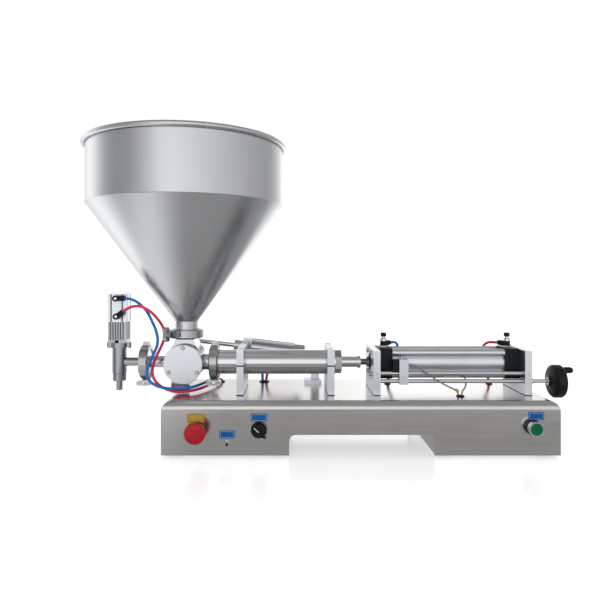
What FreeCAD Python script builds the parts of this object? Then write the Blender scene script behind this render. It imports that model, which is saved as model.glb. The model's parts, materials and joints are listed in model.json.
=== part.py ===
"""Bench-top pneumatic piston filler: hopper, rotary valve, piston cylinder, air cylinder and nozzle.

Frame: millimetres, +X along the machine towards the handwheel, +Y away from the operator, +Z up.
The origin is on the bench, under the centre of the base cabinet.
"""
import FreeCAD, Part
import math
import os

import Sketcher

V = FreeCAD.Vector
DOC = FreeCAD.newDocument("piston_filler")

# ---------------------------------------------------------------- driving dimensions

DIMENSIONS = {
    # base cabinet
    "base_length": 760, "base_depth": 250, "base_height": 102, "foot_height": 4,
    "sheet": 1.5, "end_bend": 18, "front_bend": 15,
    "notch_left": -136, "notch_right": 140, "notch_top": 43, "notch_radius": 12,
    # line of the two cylinders and the valve
    "axis_rise": 59, "axis_y": -10,
    # hopper
    "hopper_radius": 201, "hopper_top": 612, "cone_top": 492, "cone_bottom": 251,
    "neck_radius": 24, "rim_radius": 5,
    # rotary valve
    "valve_x": -353, "valve_radius": 38, "valve_bore": 30, "valve_front": -48, "valve_back": 32,
    "cover_radius": 40, "cover_thickness": 4, "shaft_radius": 10,
    "top_port": 18, "left_port": 12.2, "right_port": 16.5, "port_bore": 12,
    # clamped joints
    "ferrule_radius": 31.5, "ferrule_thickness": 6.2, "gasket": 1.6,
    "clamp_radius": 36, "clamp_width": 18, "clamp_lip": 26.5, "clamp_lug": 47,
    "top_joint_z": 225, "left_joint_x": -437, "right_joint_x": -293,
    # product cylinder
    "tube_radius": 25.5, "tube_bore": 22.5, "tube_end": -41, "nut_length": 13,
    "piston_length": 32, "piston_start": -80, "rod_radius": 11.3, "air_rod_radius": 10,
    # uprights
    "upright_thickness": 14, "upright_depth": 121, "upright_front": -69,
    "support_height": 92, "plate_height": 89, "support_left": -242, "support_right": -60,
    "plate_left": 32, "plate_right": 335, "split_gap": 2,
    # air cylinder
    "cap_size": 62, "cap_length": 29, "lobe_radius": 8, "lobe_offset": 22, "barrel_radius": 27,
    # stroke setting screw
    "rod_y": -55, "guide_z": 148.5, "screw_z": 132.5, "screw_radius": 4, "guide_radius": 4,
    "carriage_left": 84.5, "carriage_width": 18, "wheel_x": 399, "wheel_radius": 33,
    # nozzle
    "nozzle_x": -494, "nozzle_radius": 15, "nozzle_bottom": 106, "flange_bottom": 196,
    "housing_bottom": 206, "cylinder_bottom": 249.7, "cylinder_top": 307,
    # valve actuator
    "pivot_x": -80, "pivot_z": 168, "actuator_y": 75, "crank_length": 44, "crank_lean": 30,
    # hoses and cables
    "hose_radius": 3, "cable_radius": 1.5, "running_gap": 0.08,
}


class Size(float):
    """A length that also knows the spreadsheet expression it came from."""

    def __new__(cls, value, text):
        size = super().__new__(cls, value)
        size.text = text
        return size

    def __add__(self, other):
        return Size(float(self) + float(other), f"({self.text} + {text_of(other)})")

    def __radd__(self, other):
        return Size(float(other) + float(self), f"({text_of(other)} + {self.text})")

    def __sub__(self, other):
        return Size(float(self) - float(other), f"({self.text} - {text_of(other)})")

    def __rsub__(self, other):
        return Size(float(other) - float(self), f"({text_of(other)} - {self.text})")

    def __mul__(self, other):
        return Size(float(self) * float(other), f"({self.text} * {text_of(other)})")

    __rmul__ = __mul__

    def __truediv__(self, other):
        return Size(float(self) / float(other), f"({self.text} / {text_of(other)})")

    def __neg__(self):
        return Size(-float(self), f"(0 - {self.text})")


def text_of(value):
    """The expression text of a size, or of a plain number."""
    return value.text if isinstance(value, Size) else f"{float(value):.6f}"


class Sheet:
    """The spreadsheet of driving dimensions, read as attributes."""

    def __init__(self, table):
        sheet = DOC.addObject("Spreadsheet::Sheet", "Dimensions")
        for row, (alias, number) in enumerate(table.items(), start=1):
            sheet.set(f"A{row}", alias)
            sheet.set(f"B{row}", str(number))
            sheet.setAlias(f"B{row}", alias)
            setattr(self, alias, Size(number, f"Dimensions.{alias}"))
        DOC.recompute()


D = Sheet(DIMENSIONS)
DECK = D.foot_height + D.base_height
AXIS_Z = DECK + D.axis_rise
HALF_LENGTH = D.base_length / 2
HALF_DEPTH = D.base_depth / 2
SUBPARTS = []

# ---------------------------------------------------------------- modelling helpers


def bind(thing, name, size):
    """Set a property, tied to the spreadsheet when the size came from it."""
    setattr(thing, name, float(size))
    if isinstance(size, Size):
        thing.setExpression(name, size.text)


def keep(thing, label):
    """Name a finished sub-part, which becomes one node."""
    thing.Label = label
    SUBPARTS.append(thing)
    return thing


def placed(thing, at=(0, 0, 0), axis=(0, 0, 1), angle=0):
    """Put an object at a point, turned about an axis by an angle in degrees."""
    thing.Placement = FreeCAD.Placement(V(*[float(c) for c in at]), FreeCAD.Rotation(V(*axis), angle))
    return thing


def pointed(thing, at, direction):
    """Put an object at a point with its own Z axis along a direction."""
    turn = FreeCAD.Rotation(V(0, 0, 1), V(*direction))
    thing.Placement = FreeCAD.Placement(V(*[float(c) for c in at]), turn)
    return thing


def sketch(body, role, loops):
    """A fully constrained sketch: each loop is a list of corners or a (x, y, radius) circle."""
    drawing = body.newObject("Sketcher::SketchObject", body.Name + "_sketch")
    plane = [part for part in body.Origin.OriginFeatures if part.Role == role][0]
    drawing.AttachmentSupport = [(plane, "")]
    drawing.MapMode = "FlatFace"

    def pin(geometry, point, x, y):
        for kind, size in (("DistanceX", x), ("DistanceY", y)):
            index = drawing.addConstraint(Sketcher.Constraint(kind, -1, 1, geometry, point, float(size)))
            if isinstance(size, Size):
                drawing.setExpression(f"Constraints[{index}]", size.text)

    for loop in loops:
        if isinstance(loop, tuple):
            x, y, radius = loop
            circle = Part.Circle(V(float(x), float(y), 0), V(0, 0, 1), float(radius))
            geometry = drawing.addGeometry(circle, False)
            index = drawing.addConstraint(Sketcher.Constraint("Radius", geometry, float(radius)))
            if isinstance(radius, Size):
                drawing.setExpression(f"Constraints[{index}]", radius.text)
            pin(geometry, 3, x, y)
            continue
        first = drawing.GeometryCount
        count = len(loop)
        for n, (x, y) in enumerate(loop):
            end = loop[(n + 1) % count]
            line = Part.LineSegment(V(float(x), float(y), 0), V(float(end[0]), float(end[1]), 0))
            drawing.addGeometry(line, False)
        for n, (x, y) in enumerate(loop):
            following = first + (n + 1) % count
            drawing.addConstraint(Sketcher.Constraint("Coincident", first + n, 2, following, 1))
            pin(first + n, 1, x, y)
    return drawing


def turned(name, profile):
    """A body turned about its own Z axis from corners given as (radius, height)."""
    body = DOC.addObject("PartDesign::Body", name)
    drawing = sketch(body, "XZ_Plane", [profile])
    turn = body.newObject("PartDesign::Revolution", name + "_turn")
    turn.Profile = drawing
    turn.ReferenceAxis = (drawing, ["V_Axis"])
    turn.Angle = 360
    return body


def padded(name, role, loops, length, reverse=False):
    """A body padded from loops on one of its own planes."""
    body = DOC.addObject("PartDesign::Body", name)
    drawing = sketch(body, role, loops)
    pad = body.newObject("PartDesign::Pad", name + "_pad")
    pad.Profile = drawing
    pad.Reversed = reverse
    bind(pad, "Length", length)
    return body


def dressed(body, kind, size, wanted):
    """Fillet or chamfer the edges of a body that a test picks out."""
    DOC.recompute()
    base = body.Tip
    names = [f"Edge{n}" for n, edge in enumerate(base.Shape.Edges, start=1) if wanted(edge)]
    feature = body.newObject("PartDesign::" + kind, f"{body.Name}_{kind.lower()}")
    feature.Base = (base, names)
    bind(feature, "Radius" if kind == "Fillet" else "Size", size)
    return body


def runs_along(edge, axis):
    """True for a straight edge along one of the axes 0, 1 or 2."""
    if edge.Curve.TypeId != "Part::GeomLine":
        return False
    return abs(abs(edge.tangentAt(edge.FirstParameter)[axis]) - 1) < 1e-6


def block(name, low, high):
    """A box between two corners."""
    box = DOC.addObject("Part::Box", name)
    for prop, start, end in zip(("Length", "Width", "Height"), low, high):
        bind(box, prop, end - start)
    return placed(box, low)


def rod(name, radius, start, direction, length):
    """A cylinder from a start point along a direction."""
    cylinder = DOC.addObject("Part::Cylinder", name)
    bind(cylinder, "Radius", radius)
    bind(cylinder, "Height", length)
    return pointed(cylinder, start, direction)


def fused(name, pieces):
    """Several pieces welded into one solid."""
    weld = DOC.addObject("Part::MultiFuse", name)
    weld.Shapes = pieces
    return weld


def grouped(name, pieces):
    """Several separate solids in one sub-part."""
    group = DOC.addObject("Part::Compound", name)
    group.Links = pieces
    return group


def carved(name, base, tools):
    """A piece with several tools cut out of it."""
    tool = tools[0] if len(tools) == 1 else fused(name + "_tools", tools)
    cut = DOC.addObject("Part::Cut", name)
    cut.Base = base
    cut.Tool = tool
    return cut


def shared(name, first, second):
    """The space that two pieces have in common."""
    common = DOC.addObject("Part::Common", name)
    common.Base = first
    common.Tool = second
    return common


def prism(name, sides, across_flats, start, direction, length):
    """A regular prism, such as a hexagon nut."""
    solid = DOC.addObject("Part::Prism", name)
    solid.Polygon = sides
    bind(solid, "Circumradius", across_flats / 2 / math.cos(math.pi / sides))
    bind(solid, "Height", length)
    return pointed(solid, start, direction)


ALONG_X, ALONG_Y, ALONG_Z = (1, 0, 0), (0, 1, 0), (0, 0, 1)
BACK_X, BACK_Y, DOWN = (-1, 0, 0), (0, -1, 0), (0, 0, -1)

# ---------------------------------------------------------------- base cabinet

PANEL_STATIONS = {"estop": (-311, 53), "selector": (-193.5, 54), "start": (326, 58.5)}
PEDAL_SOCKET_AT = (-254.5, 26)
AIR_INLET_AT = (300, 50)
GROMMETS = {  # name: centre x, centre y, hole radius
    "nozzle_hoses": (-294, 79, 9), "actuator_hoses": (-194, 79, 9),
    "front_hose": (80, 54, 5), "rear_hose": (305, 54, 5), "cables": (203.5, -75, 6),
}
PANEL_HOLE = 11.2
SOCKET_HOLE = 5.2
INLET_HOLE = 8


def cabinet_shell(name, inset):
    """The rounded cabinet volume, drawn in on all closed sides by an inset."""
    top = DECK - inset
    half_x = HALF_LENGTH - inset
    half_y = HALF_DEPTH - inset
    bottom = D.foot_height - (0 if float(inset) == 0 else 5)
    ends = padded(name + "_ends", "XZ_Plane",
                  [[(-half_x, bottom), (half_x, bottom), (half_x, top), (-half_x, top)]],
                  D.base_depth + 20, reverse=True)
    placed(ends, (0, -HALF_DEPTH - 10, 0))
    dressed(ends, "Fillet", D.end_bend - inset,
            lambda edge: runs_along(edge, 1) and edge.CenterOfMass.z > float(top) - 1)
    sides = padded(name + "_sides", "YZ_Plane",
                   [[(-half_y, bottom), (half_y, bottom), (half_y, top), (-half_y, top)]],
                   D.base_length + 20)
    placed(sides, (-HALF_LENGTH - 10, 0, 0))
    dressed(sides, "Fillet", D.front_bend - inset,
            lambda edge: runs_along(edge, 0) and edge.CenterOfMass.z > float(top) - 1)
    return shared(name, ends, sides)


def base_cabinet():
    """Folded sheet cabinet with a wide notch front and back and holes for the controls."""
    notch = padded("notch", "XZ_Plane",
                   [[(D.notch_left, -10), (D.notch_right, -10), (D.notch_right, D.notch_top),
                     (D.notch_left, D.notch_top)]], D.base_depth + 20, reverse=True)
    placed(notch, (0, -HALF_DEPTH - 10, 0))
    dressed(notch, "Fillet", D.notch_radius,
            lambda edge: runs_along(edge, 1) and edge.CenterOfMass.z > float(D.notch_top) - 1)
    tools = [cabinet_shell("cabinet_inside", D.sheet), notch]
    for name, (x, z) in PANEL_STATIONS.items():
        tools.append(rod(name + "_hole", PANEL_HOLE, (x, -HALF_DEPTH - 5, z), ALONG_Y, 12))
    x, z = PEDAL_SOCKET_AT
    tools.append(rod("pedal_hole", SOCKET_HOLE, (x, -HALF_DEPTH - 5, z), ALONG_Y, 12))
    x, z = AIR_INLET_AT
    tools.append(rod("inlet_hole", INLET_HOLE, (x, HALF_DEPTH - 6, z), ALONG_Y, 12))
    for name, (x, y, radius) in GROMMETS.items():
        tools.append(rod(name + "_hole", radius, (x, y, DECK - 6), ALONG_Z, 12))
    keep(carved("base_cabinet", cabinet_shell("cabinet_outside", D.sheet * 0), tools), "base_cabinet")


def bottom_covers():
    """An L-shaped cover closes the bottom and the notch side of each pedestal."""
    inner_y = HALF_DEPTH - D.sheet - 0.5
    covers = []
    for name, outer, inner, step in (("left", -HALF_LENGTH + D.sheet + 0.5, D.notch_left - 2, -1),
                                     ("right", HALF_LENGTH - D.sheet - 0.5, D.notch_right + 2, 1)):
        low = min(outer, inner)
        high = max(outer, inner)
        floor = block(name + "_floor", (low, -inner_y, D.foot_height),
                      (high, inner_y, D.foot_height + D.sheet))
        near, far = (inner, inner + D.sheet) if step > 0 else (inner - D.sheet, inner)
        wall = block(name + "_wall", (near, -inner_y, D.foot_height), (far, inner_y, DECK - 16))
        covers.append(fused(name + "_cover", [floor, wall]))
    keep(grouped("bottom_covers", covers), "bottom_covers")


def rubber_feet():
    """Eight flat rubber feet, four under each pedestal."""
    feet = []
    for x in (-HALF_LENGTH + 24, D.notch_left - 24, D.notch_right + 24, HALF_LENGTH - 24):
        for y in (-HALF_DEPTH + 24, HALF_DEPTH - 24):
            foot = turned(f"foot_{len(feet)}", [(0, 0), (11, 0), (12.5, D.foot_height), (0, D.foot_height)])
            feet.append(placed(foot, (x, y, 0)))
    keep(grouped("rubber_feet", feet), "rubber_feet")


def air_control_valve():
    """Manifold with two solenoid valves, hung under the deck in the left pedestal."""
    roof = DECK - D.sheet
    manifold = block("manifold", (-300, 0, roof - 26), (-210, 46, roof))
    pieces = [manifold]
    for n, x in enumerate((-292, -250)):
        pieces.append(block(f"solenoid_{n}", (x, -34, roof - 46), (x + 32, 40, roof - 26)))
    keep(fused("air_control_valve", pieces), "air_control_valve")


def air_inlet():
    """Bulkhead fitting for the compressed air supply, through the back of the cabinet."""
    x, z = AIR_INLET_AT
    back = HALF_DEPTH
    bore_radius, bore_length = 5.7, 16
    hexagon = prism("inlet_hexagon", 6, 22, (x, back, z), ALONG_Y, 12)
    barrel = rod("inlet_barrel", INLET_HOLE, (x, back - 22, z), ALONG_Y, 24)
    nut = prism("inlet_nut", 6, 22, (x, back - D.sheet - 6, z), ALONG_Y, 6)
    bore = rod("inlet_bore", bore_radius, (x, back + 12 - bore_length, z), ALONG_Y, bore_length + 1)
    through = rod("inlet_through", 3.5, (x, back - 23, z), ALONG_Y, 30)
    keep(carved("air_inlet", fused("inlet_solid", [hexagon, barrel, nut]), [bore, through]), "air_inlet")


def grommets():
    """Rubber grommets where the hoses and cables enter the deck."""
    rings = []
    for name, (x, y, radius) in GROMMETS.items():
        flange = radius + 2.5
        hole = radius - 1
        ring = turned(name + "_grommet",
                      [(hole, -4), (radius + 1.5, -4), (radius + 1.5, -D.sheet), (radius, -D.sheet),
                       (radius, 0), (flange, 0), (flange - 1, 2), (hole, 2)])
        rings.append(placed(ring, (x, y, DECK)))
    keep(grouped("grommets", rings), "grommets")

# ---------------------------------------------------------------- controls on the front


def panel_collars():
    """Black mounting bodies of the three controls, with their contact blocks behind the sheet."""
    bodies = []
    front = -HALF_DEPTH
    for name, (x, z) in PANEL_STATIONS.items():
        flange = rod(name + "_flange", 15, (x, front, z), BACK_Y, 8)
        barrel = rod(name + "_barrel", PANEL_HOLE - 0.2, (x, front, z), ALONG_Y, 16)
        nut = prism(name + "_nut", 6, 30, (x, front + D.sheet, z), ALONG_Y, 4)
        contact = block(name + "_contact", (x - 14, front + 16, z - 18), (x + 14, front + 50, z + 18))
        well = rod(name + "_well", 8, (x, front - 9, z), ALONG_Y, 40)
        solid = fused(name + "_solid", [flange, barrel, nut, contact])
        bodies.append(carved(name + "_collar", solid, [well]))
    keep(grouped("panel_collars", bodies), "panel_collars")


def estop():
    """Mushroom-headed stop button on a stem that slides in its collar."""
    x, z = PANEL_STATIONS["estop"]
    face = -HALF_DEPTH - 8
    stem = turned("stem", [(0, 0), (5, 0), (5, 14.3), (7.92, 14.3), (7.92, 39.3), (0, 39.3)])
    keep(pointed(stem, (x, face - 19.3, z), ALONG_Y), "estop_stem")
    head = turned("mushroom", [(5.08, 20.5), (9, 20.5), (11, 11), (20, 9), (20, 4), (17, 1), (10, 0), (0, 0),
                               (0, 6.3), (5.08, 6.3)])
    keep(pointed(head, (x, face - 26, z), ALONG_Y), "estop_button")


def selector_knob():
    """Two-position knob: a round boss with a pointed finger grip."""
    x, z = PANEL_STATIONS["selector"]
    face = -HALF_DEPTH - 8.3
    boss = turned("knob_boss", [(0, 0), (9.5, 0), (12.5, 3), (12.5, 13), (0, 13)])
    pointed(boss, (x, face - 13, z), ALONG_Y)
    tip_angle = math.radians(-42)
    tip = (19 * math.cos(tip_angle), 19 * math.sin(tip_angle))
    half = 11
    corners = [tip, (-half * math.sin(tip_angle), half * math.cos(tip_angle)),
               (half * math.sin(tip_angle), -half * math.cos(tip_angle))]
    finger = padded("knob_finger", "XZ_Plane", [corners], 10, reverse=True)
    placed(finger, (x, face - 12, z))
    spindle = rod("knob_spindle", 7.92, (x, face, z), ALONG_Y, 20)
    keep(fused("selector_knob", [boss, finger, spindle]), "selector_knob")


def start_control():
    """Green push button that slides inside a bright bezel."""
    x, z = PANEL_STATIONS["start"]
    face = -HALF_DEPTH - 8
    bezel = turned("bezel", [(11.5, 0), (14, 0), (14, 12), (11.5, 12)])
    keep(pointed(bezel, (x, face - 12, z), ALONG_Y), "start_bezel")
    button = turned("plunger", [(0, 0), (10, 0), (11.2, 1.2), (11.2, 9), (7.92, 9), (7.92, 30), (0, 30)])
    keep(pointed(button, (x, face - 13.5, z), ALONG_Y), "start_button")


def pedal_socket():
    """Round socket for a foot switch lead."""
    x, z = PEDAL_SOCKET_AT
    front = -HALF_DEPTH
    ring = turned("socket_ring", [(3.2, -4), (5.4, -4), (6, -3), (6, 0), (5, 0), (5, 14), (0, 14), (0, 8),
                                  (3.2, 8)])
    keep(pointed(ring, (x, front, z), ALONG_Y), "pedal_socket")

# ---------------------------------------------------------------- valve, hopper and clamped joints


def valve_pedestal():
    """Stainless foot under the valve body, hollowed to fit it."""
    foot = block("pedestal_foot", (D.valve_x - 24, D.valve_front, DECK), (D.valve_x + 14, D.valve_back, DECK + 40))
    saddle = rod("pedestal_saddle", D.valve_radius, (D.valve_x, -60, AXIS_Z), ALONG_Y, 100)
    keep(carved("valve_pedestal", foot, [saddle]), "valve_pedestal")


def ferrule(name, at, direction):
    """Flange of a clamped joint, standing from a point along a direction."""
    return rod(name, D.ferrule_radius, at, direction, D.ferrule_thickness)


def valve_body():
    """Three-way valve housing: round chamber, shoulders up to the hopper port and three stubs."""
    depth = D.valve_back - D.valve_front
    chamber_end = D.valve_back - 8
    drum = rod("valve_drum", D.valve_radius, (D.valve_x, D.valve_front, AXIS_Z), ALONG_Y, depth)
    shoulder = padded("valve_shoulder", "XZ_Plane",
                      [[(-33, 18), (33, 18), (19, 49), (-19, 49)]], depth - 24, reverse=True)
    placed(shoulder, (D.valve_x, D.valve_front + 12, AXIS_Z))
    half_gap = D.gasket / 2
    reach = half_gap + D.ferrule_thickness
    top_length = D.top_joint_z - reach - AXIS_Z
    left_length = D.valve_x - D.left_joint_x - reach
    right_length = D.right_joint_x - D.valve_x - reach
    centre = (D.valve_x, D.axis_y, AXIS_Z)
    boss = rod("valve_boss", D.shaft_radius + 8, (D.valve_x, D.valve_back, AXIS_Z), ALONG_Y, 14)
    solids = [
        drum, shoulder, boss,
        rod("top_stub", D.top_port, centre, ALONG_Z, top_length),
        rod("left_stub", D.left_port, centre, BACK_X, left_length),
        rod("right_stub", D.right_port, centre, ALONG_X, right_length),
        ferrule("top_ferrule", (D.valve_x, D.axis_y, D.top_joint_z - reach), ALONG_Z),
        ferrule("left_ferrule", (D.left_joint_x + reach, D.axis_y, AXIS_Z), BACK_X),
        ferrule("right_ferrule", (D.right_joint_x - reach, D.axis_y, AXIS_Z), ALONG_X),
    ]
    bores = [
        rod("chamber", D.valve_bore, (D.valve_x, D.valve_front - 1, AXIS_Z), ALONG_Y,
            chamber_end - D.valve_front + 1),
        rod("shaft_hole", D.shaft_radius + D.running_gap, (D.valve_x, 0, AXIS_Z), ALONG_Y, 60),
        rod("top_bore", D.port_bore, centre, ALONG_Z, 80),
        rod("left_bore", D.left_port - 3, centre, BACK_X, 100),
        rod("right_bore", D.port_bore, centre, ALONG_X, 80),
    ]
    bores += screw_holes("body_tap", 2)
    keep(carved("valve_body", fused("valve_solid", solids), bores), "valve_body")


def cover_screw_places():
    """Centres of the three cover screws, at twelve, four and eight o'clock."""
    pitch_radius = 33.5
    return [(D.valve_x + pitch_radius * math.cos(math.radians(a)),
             AXIS_Z + pitch_radius * math.sin(math.radians(a))) for a in (90, 210, 330)]


def screw_holes(name, radius):
    """Holes for the cover screws, through the cover and into the body."""
    return [rod(f"{name}_{n}", radius, (x, D.valve_front - 6, z), ALONG_Y, 18)
            for n, (x, z) in enumerate(cover_screw_places())]


def valve_cover():
    """Round front cover of the valve."""
    disc = turned("cover_disc", [(0, 0), (D.cover_radius - 0.8, 0), (D.cover_radius, 0.8),
                                 (D.cover_radius, D.cover_thickness), (0, D.cover_thickness)])
    pointed(disc, (D.valve_x, D.valve_front - D.cover_thickness, AXIS_Z), ALONG_Y)
    keep(carved("valve_cover", disc, screw_holes("cover_hole", 2.1)), "valve_cover")


def valve_rotor():
    """Plug that covers one port at a time: two end discs joined by a quarter vane, on a shaft."""
    gap = D.running_gap
    radius = D.valve_bore - gap
    front = D.valve_front + 1
    back = D.valve_back - 9
    thickness = 6
    centre_angle, half_angle = 158.6, 45
    reach = 60
    wedge_corners = [(0, 0)]
    for step in (-half_angle, half_angle):
        angle = math.radians(centre_angle + step)
        wedge_corners.append((reach * math.cos(angle), reach * math.sin(angle)))
    wedge = padded("vane_wedge", "XZ_Plane", [wedge_corners], back - front, reverse=True)
    placed(wedge, (D.valve_x, front, AXIS_Z))
    drum = rod("vane_drum", radius, (D.valve_x, front, AXIS_Z), ALONG_Y, back - front)
    pieces = [
        shared("vane", drum, wedge),
        rod("front_disc", radius, (D.valve_x, front, AXIS_Z), ALONG_Y, thickness),
        rod("back_disc", radius, (D.valve_x, back - thickness, AXIS_Z), ALONG_Y, thickness),
        rod("rotor_shaft", D.shaft_radius, (D.valve_x, back - 1, AXIS_Z), ALONG_Y, 73 - back),
    ]
    keep(fused("valve_rotor", pieces), "valve_rotor")


CRANK_FRONT, CRANK_BACK = 63, 69.5


def crank_pin_centre():
    """Centre of the crank pin at rest, leaning towards the nozzle."""
    lean = math.radians(float(D.crank_lean))
    length = float(D.crank_length)
    return (float(D.valve_x) - length * math.sin(lean), float(AXIS_Z) + length * math.cos(lean))


def valve_crank():
    """Clamped crank arm on the rotor shaft, with the pin that the actuator yoke drives."""
    x, z = crank_pin_centre()
    thickness = CRANK_BACK - CRANK_FRONT
    hub = rod("crank_hub", 17, (D.valve_x, CRANK_FRONT, AXIS_Z), ALONG_Y, thickness)
    eye = rod("crank_eye", 9, (x, CRANK_FRONT, z), ALONG_Y, thickness)
    lean = math.radians(float(D.crank_lean))
    side = (math.cos(lean), math.sin(lean))
    along = (-math.sin(lean), math.cos(lean))
    length = float(D.crank_length)
    corners = [(15 * side[0], 15 * side[1]),
               (length * along[0] + 8.5 * side[0], length * along[1] + 8.5 * side[1]),
               (length * along[0] - 8.5 * side[0], length * along[1] - 8.5 * side[1]),
               (-15 * side[0], -15 * side[1])]
    arm = padded("crank_arm", "XZ_Plane", [corners], thickness, reverse=True)
    placed(arm, (D.valve_x, CRANK_FRONT, AXIS_Z))
    pin = rod("crank_pin", 4, (x, CRANK_FRONT, z), ALONG_Y, 22)
    head = rod("crank_pin_head", 6, (x, CRANK_FRONT + 20, z), ALONG_Y, 2.5)
    hole = rod("crank_bore", D.shaft_radius, (D.valve_x, CRANK_FRONT - 1, AXIS_Z), ALONG_Y, thickness + 2)
    keep(carved("valve_crank", fused("crank_solid", [hub, eye, arm, pin, head]), [hole]), "valve_crank")


def hopper():
    """Spun sheet hopper: straight wall, cone, neck, ferrule and a rolled rim."""
    sheet = D.sheet
    flange_bottom = D.top_joint_z + D.gasket / 2
    flange_top = flange_bottom + D.ferrule_thickness
    wall = D.hopper_radius
    profile = [
        (D.neck_radius - sheet, flange_bottom), (D.ferrule_radius, flange_bottom),
        (D.ferrule_radius, flange_top), (D.neck_radius + 1.5, flange_top), (D.neck_radius, flange_top + 1.5),
        (D.neck_radius, D.cone_bottom), (wall, D.cone_top), (wall, D.hopper_top),
        (wall - sheet, D.hopper_top), (wall - sheet, D.cone_top + 0.5),
        (D.neck_radius - sheet, D.cone_bottom + 0.5),
    ]
    shell = placed(turned("hopper_shell", profile), (D.valve_x, D.axis_y, 0))
    rim = DOC.addObject("Part::Torus", "hopper_bead")
    bind(rim, "Radius1", wall + D.rim_radius - sheet)
    bind(rim, "Radius2", D.rim_radius)
    placed(rim, (D.valve_x, D.axis_y, D.hopper_top))
    keep(fused("hopper", [shell, rim]), "hopper")


JOINTS = {  # name: centre, pipe axis, turn of the screw lug about the pipe axis in degrees
    "hopper": ((D.valve_x, D.axis_y, D.top_joint_z), ALONG_Z, 240),
    "nozzle": ((D.left_joint_x, D.axis_y, AXIS_Z), ALONG_X, 0),
    "cylinder": ((D.right_joint_x, D.axis_y, AXIS_Z), ALONG_X, 0),
}


def joint_placement(centre, axis, turn):
    """Placement that sends a clamp drawn about Z, with its screw lug on +X, to a joint."""
    spin = FreeCAD.Rotation(V(0, 0, 1), turn)
    aim = FreeCAD.Rotation() if axis == ALONG_Z else FreeCAD.Rotation(V(0, 1, 0), 90)
    return FreeCAD.Placement(V(*[float(c) for c in centre]), aim.multiply(spin))


def clamp_jaws(name):
    """Two half rings of channel section with a hinge lug at one side and a screw lug at the other."""
    half = D.clamp_width / 2
    groove = D.ferrule_thickness + D.gasket / 2 + 0.2
    seat = D.ferrule_radius + 0.2
    ring = turned(name + "_ring",
                  [(D.clamp_lip, -half), (D.clamp_radius - 2, -half), (D.clamp_radius, 2 - half),
                   (D.clamp_radius, half - 2), (D.clamp_radius - 2, half), (D.clamp_lip, half),
                   (D.clamp_lip, groove), (seat, groove), (seat, -groove), (D.clamp_lip, -groove)])
    screw_lug = block(name + "_screw_lug", (33, -9, -6.5), (D.clamp_lug, 9, 6.5))
    hinge_lug = block(name + "_hinge_lug", (-D.clamp_radius - 6, -7, -6), (-33, 7, 6))
    room = rod(name + "_room", seat, (0, 0, -groove), ALONG_Z, groove * 2)
    split = block(name + "_split", (-60, -1.25, -20), (60, 1.25, 20))
    screw_hole = rod(name + "_screw_hole", 3.2, (41, -20, 0), ALONG_Y, 40)
    return carved(name + "_jaws", fused(name + "_band", [ring, screw_lug, hinge_lug]),
                  [room, split, screw_hole])


def clamp_screw(name):
    """Hinge bolt through the screw lugs, with a wing nut."""
    bolt = rod(name + "_bolt", 3, (41, -24, 0), ALONG_Y, 38)
    tail = rod(name + "_tail", 5.2, (41, 9, 0), ALONG_Y, 5)
    hub = rod(name + "_hub", 5.8, (41, -21, 0), ALONG_Y, 12)
    wing = block(name + "_wing", (37.5, -24, -15), (44.5, -14, 15))
    DOC.recompute()
    return fused(name + "_screw", [bolt, tail, hub, wing])


def clamped_joints():
    """Jaws, screws and gaskets of the three clamped pipe joints."""
    jaws, screws, gaskets = [], [], []
    for name, (centre, axis, turn) in JOINTS.items():
        place = joint_placement(centre, axis, turn)
        for pieces, piece in ((jaws, clamp_jaws(name)), (screws, clamp_screw(name))):
            piece.Placement = place
            pieces.append(piece)
        thickness = D.gasket
        seal = turned(name + "_seal", [(24.5, -thickness / 2), (D.ferrule_radius - 1, -thickness / 2),
                                       (D.ferrule_radius - 1, thickness / 2), (24.5, thickness / 2)])
        seal.Placement = place
        gaskets.append(seal)
    keep(grouped("tri_clamps", jaws), "tri_clamps")
    keep(grouped("clamp_screws", screws), "clamp_screws")
    keep(grouped("clamp_gaskets", gaskets), "clamp_gaskets")

# ---------------------------------------------------------------- product cylinder


def material_tube():
    """Polished product cylinder with a ferrule at the valve end."""
    start = D.right_joint_x + D.gasket / 2
    tube = turned("tube", [
        (D.tube_bore, 0), (D.ferrule_radius, 0), (D.ferrule_radius, D.ferrule_thickness),
        (D.tube_radius, D.ferrule_thickness), (D.tube_radius, D.tube_end - start), (D.tube_bore, D.tube_end - start)])
    keep(pointed(tube, (start, D.axis_y, AXIS_Z), ALONG_X), "material_tube")


def tube_end_nut():
    """Hexagon end nut with a wide bore that lets the rod and coupling through."""
    nut = prism("end_hexagon", 6, 42, (D.tube_end, D.axis_y, AXIS_Z), ALONG_X, D.nut_length)
    bore = rod("end_bore", 16, (D.tube_end - 1, D.axis_y, AXIS_Z), ALONG_X, D.nut_length + 2)
    keep(carved("tube_end_nut", nut, [bore]), "tube_end_nut")


def support_screw_places():
    """Tops of the four screws that hold the support caps down."""
    middle = D.upright_front + D.upright_depth / 2
    return [(left + D.upright_thickness / 2, middle + offset)
            for left in (D.support_left, D.support_right) for offset in (-46, 46)]


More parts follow.
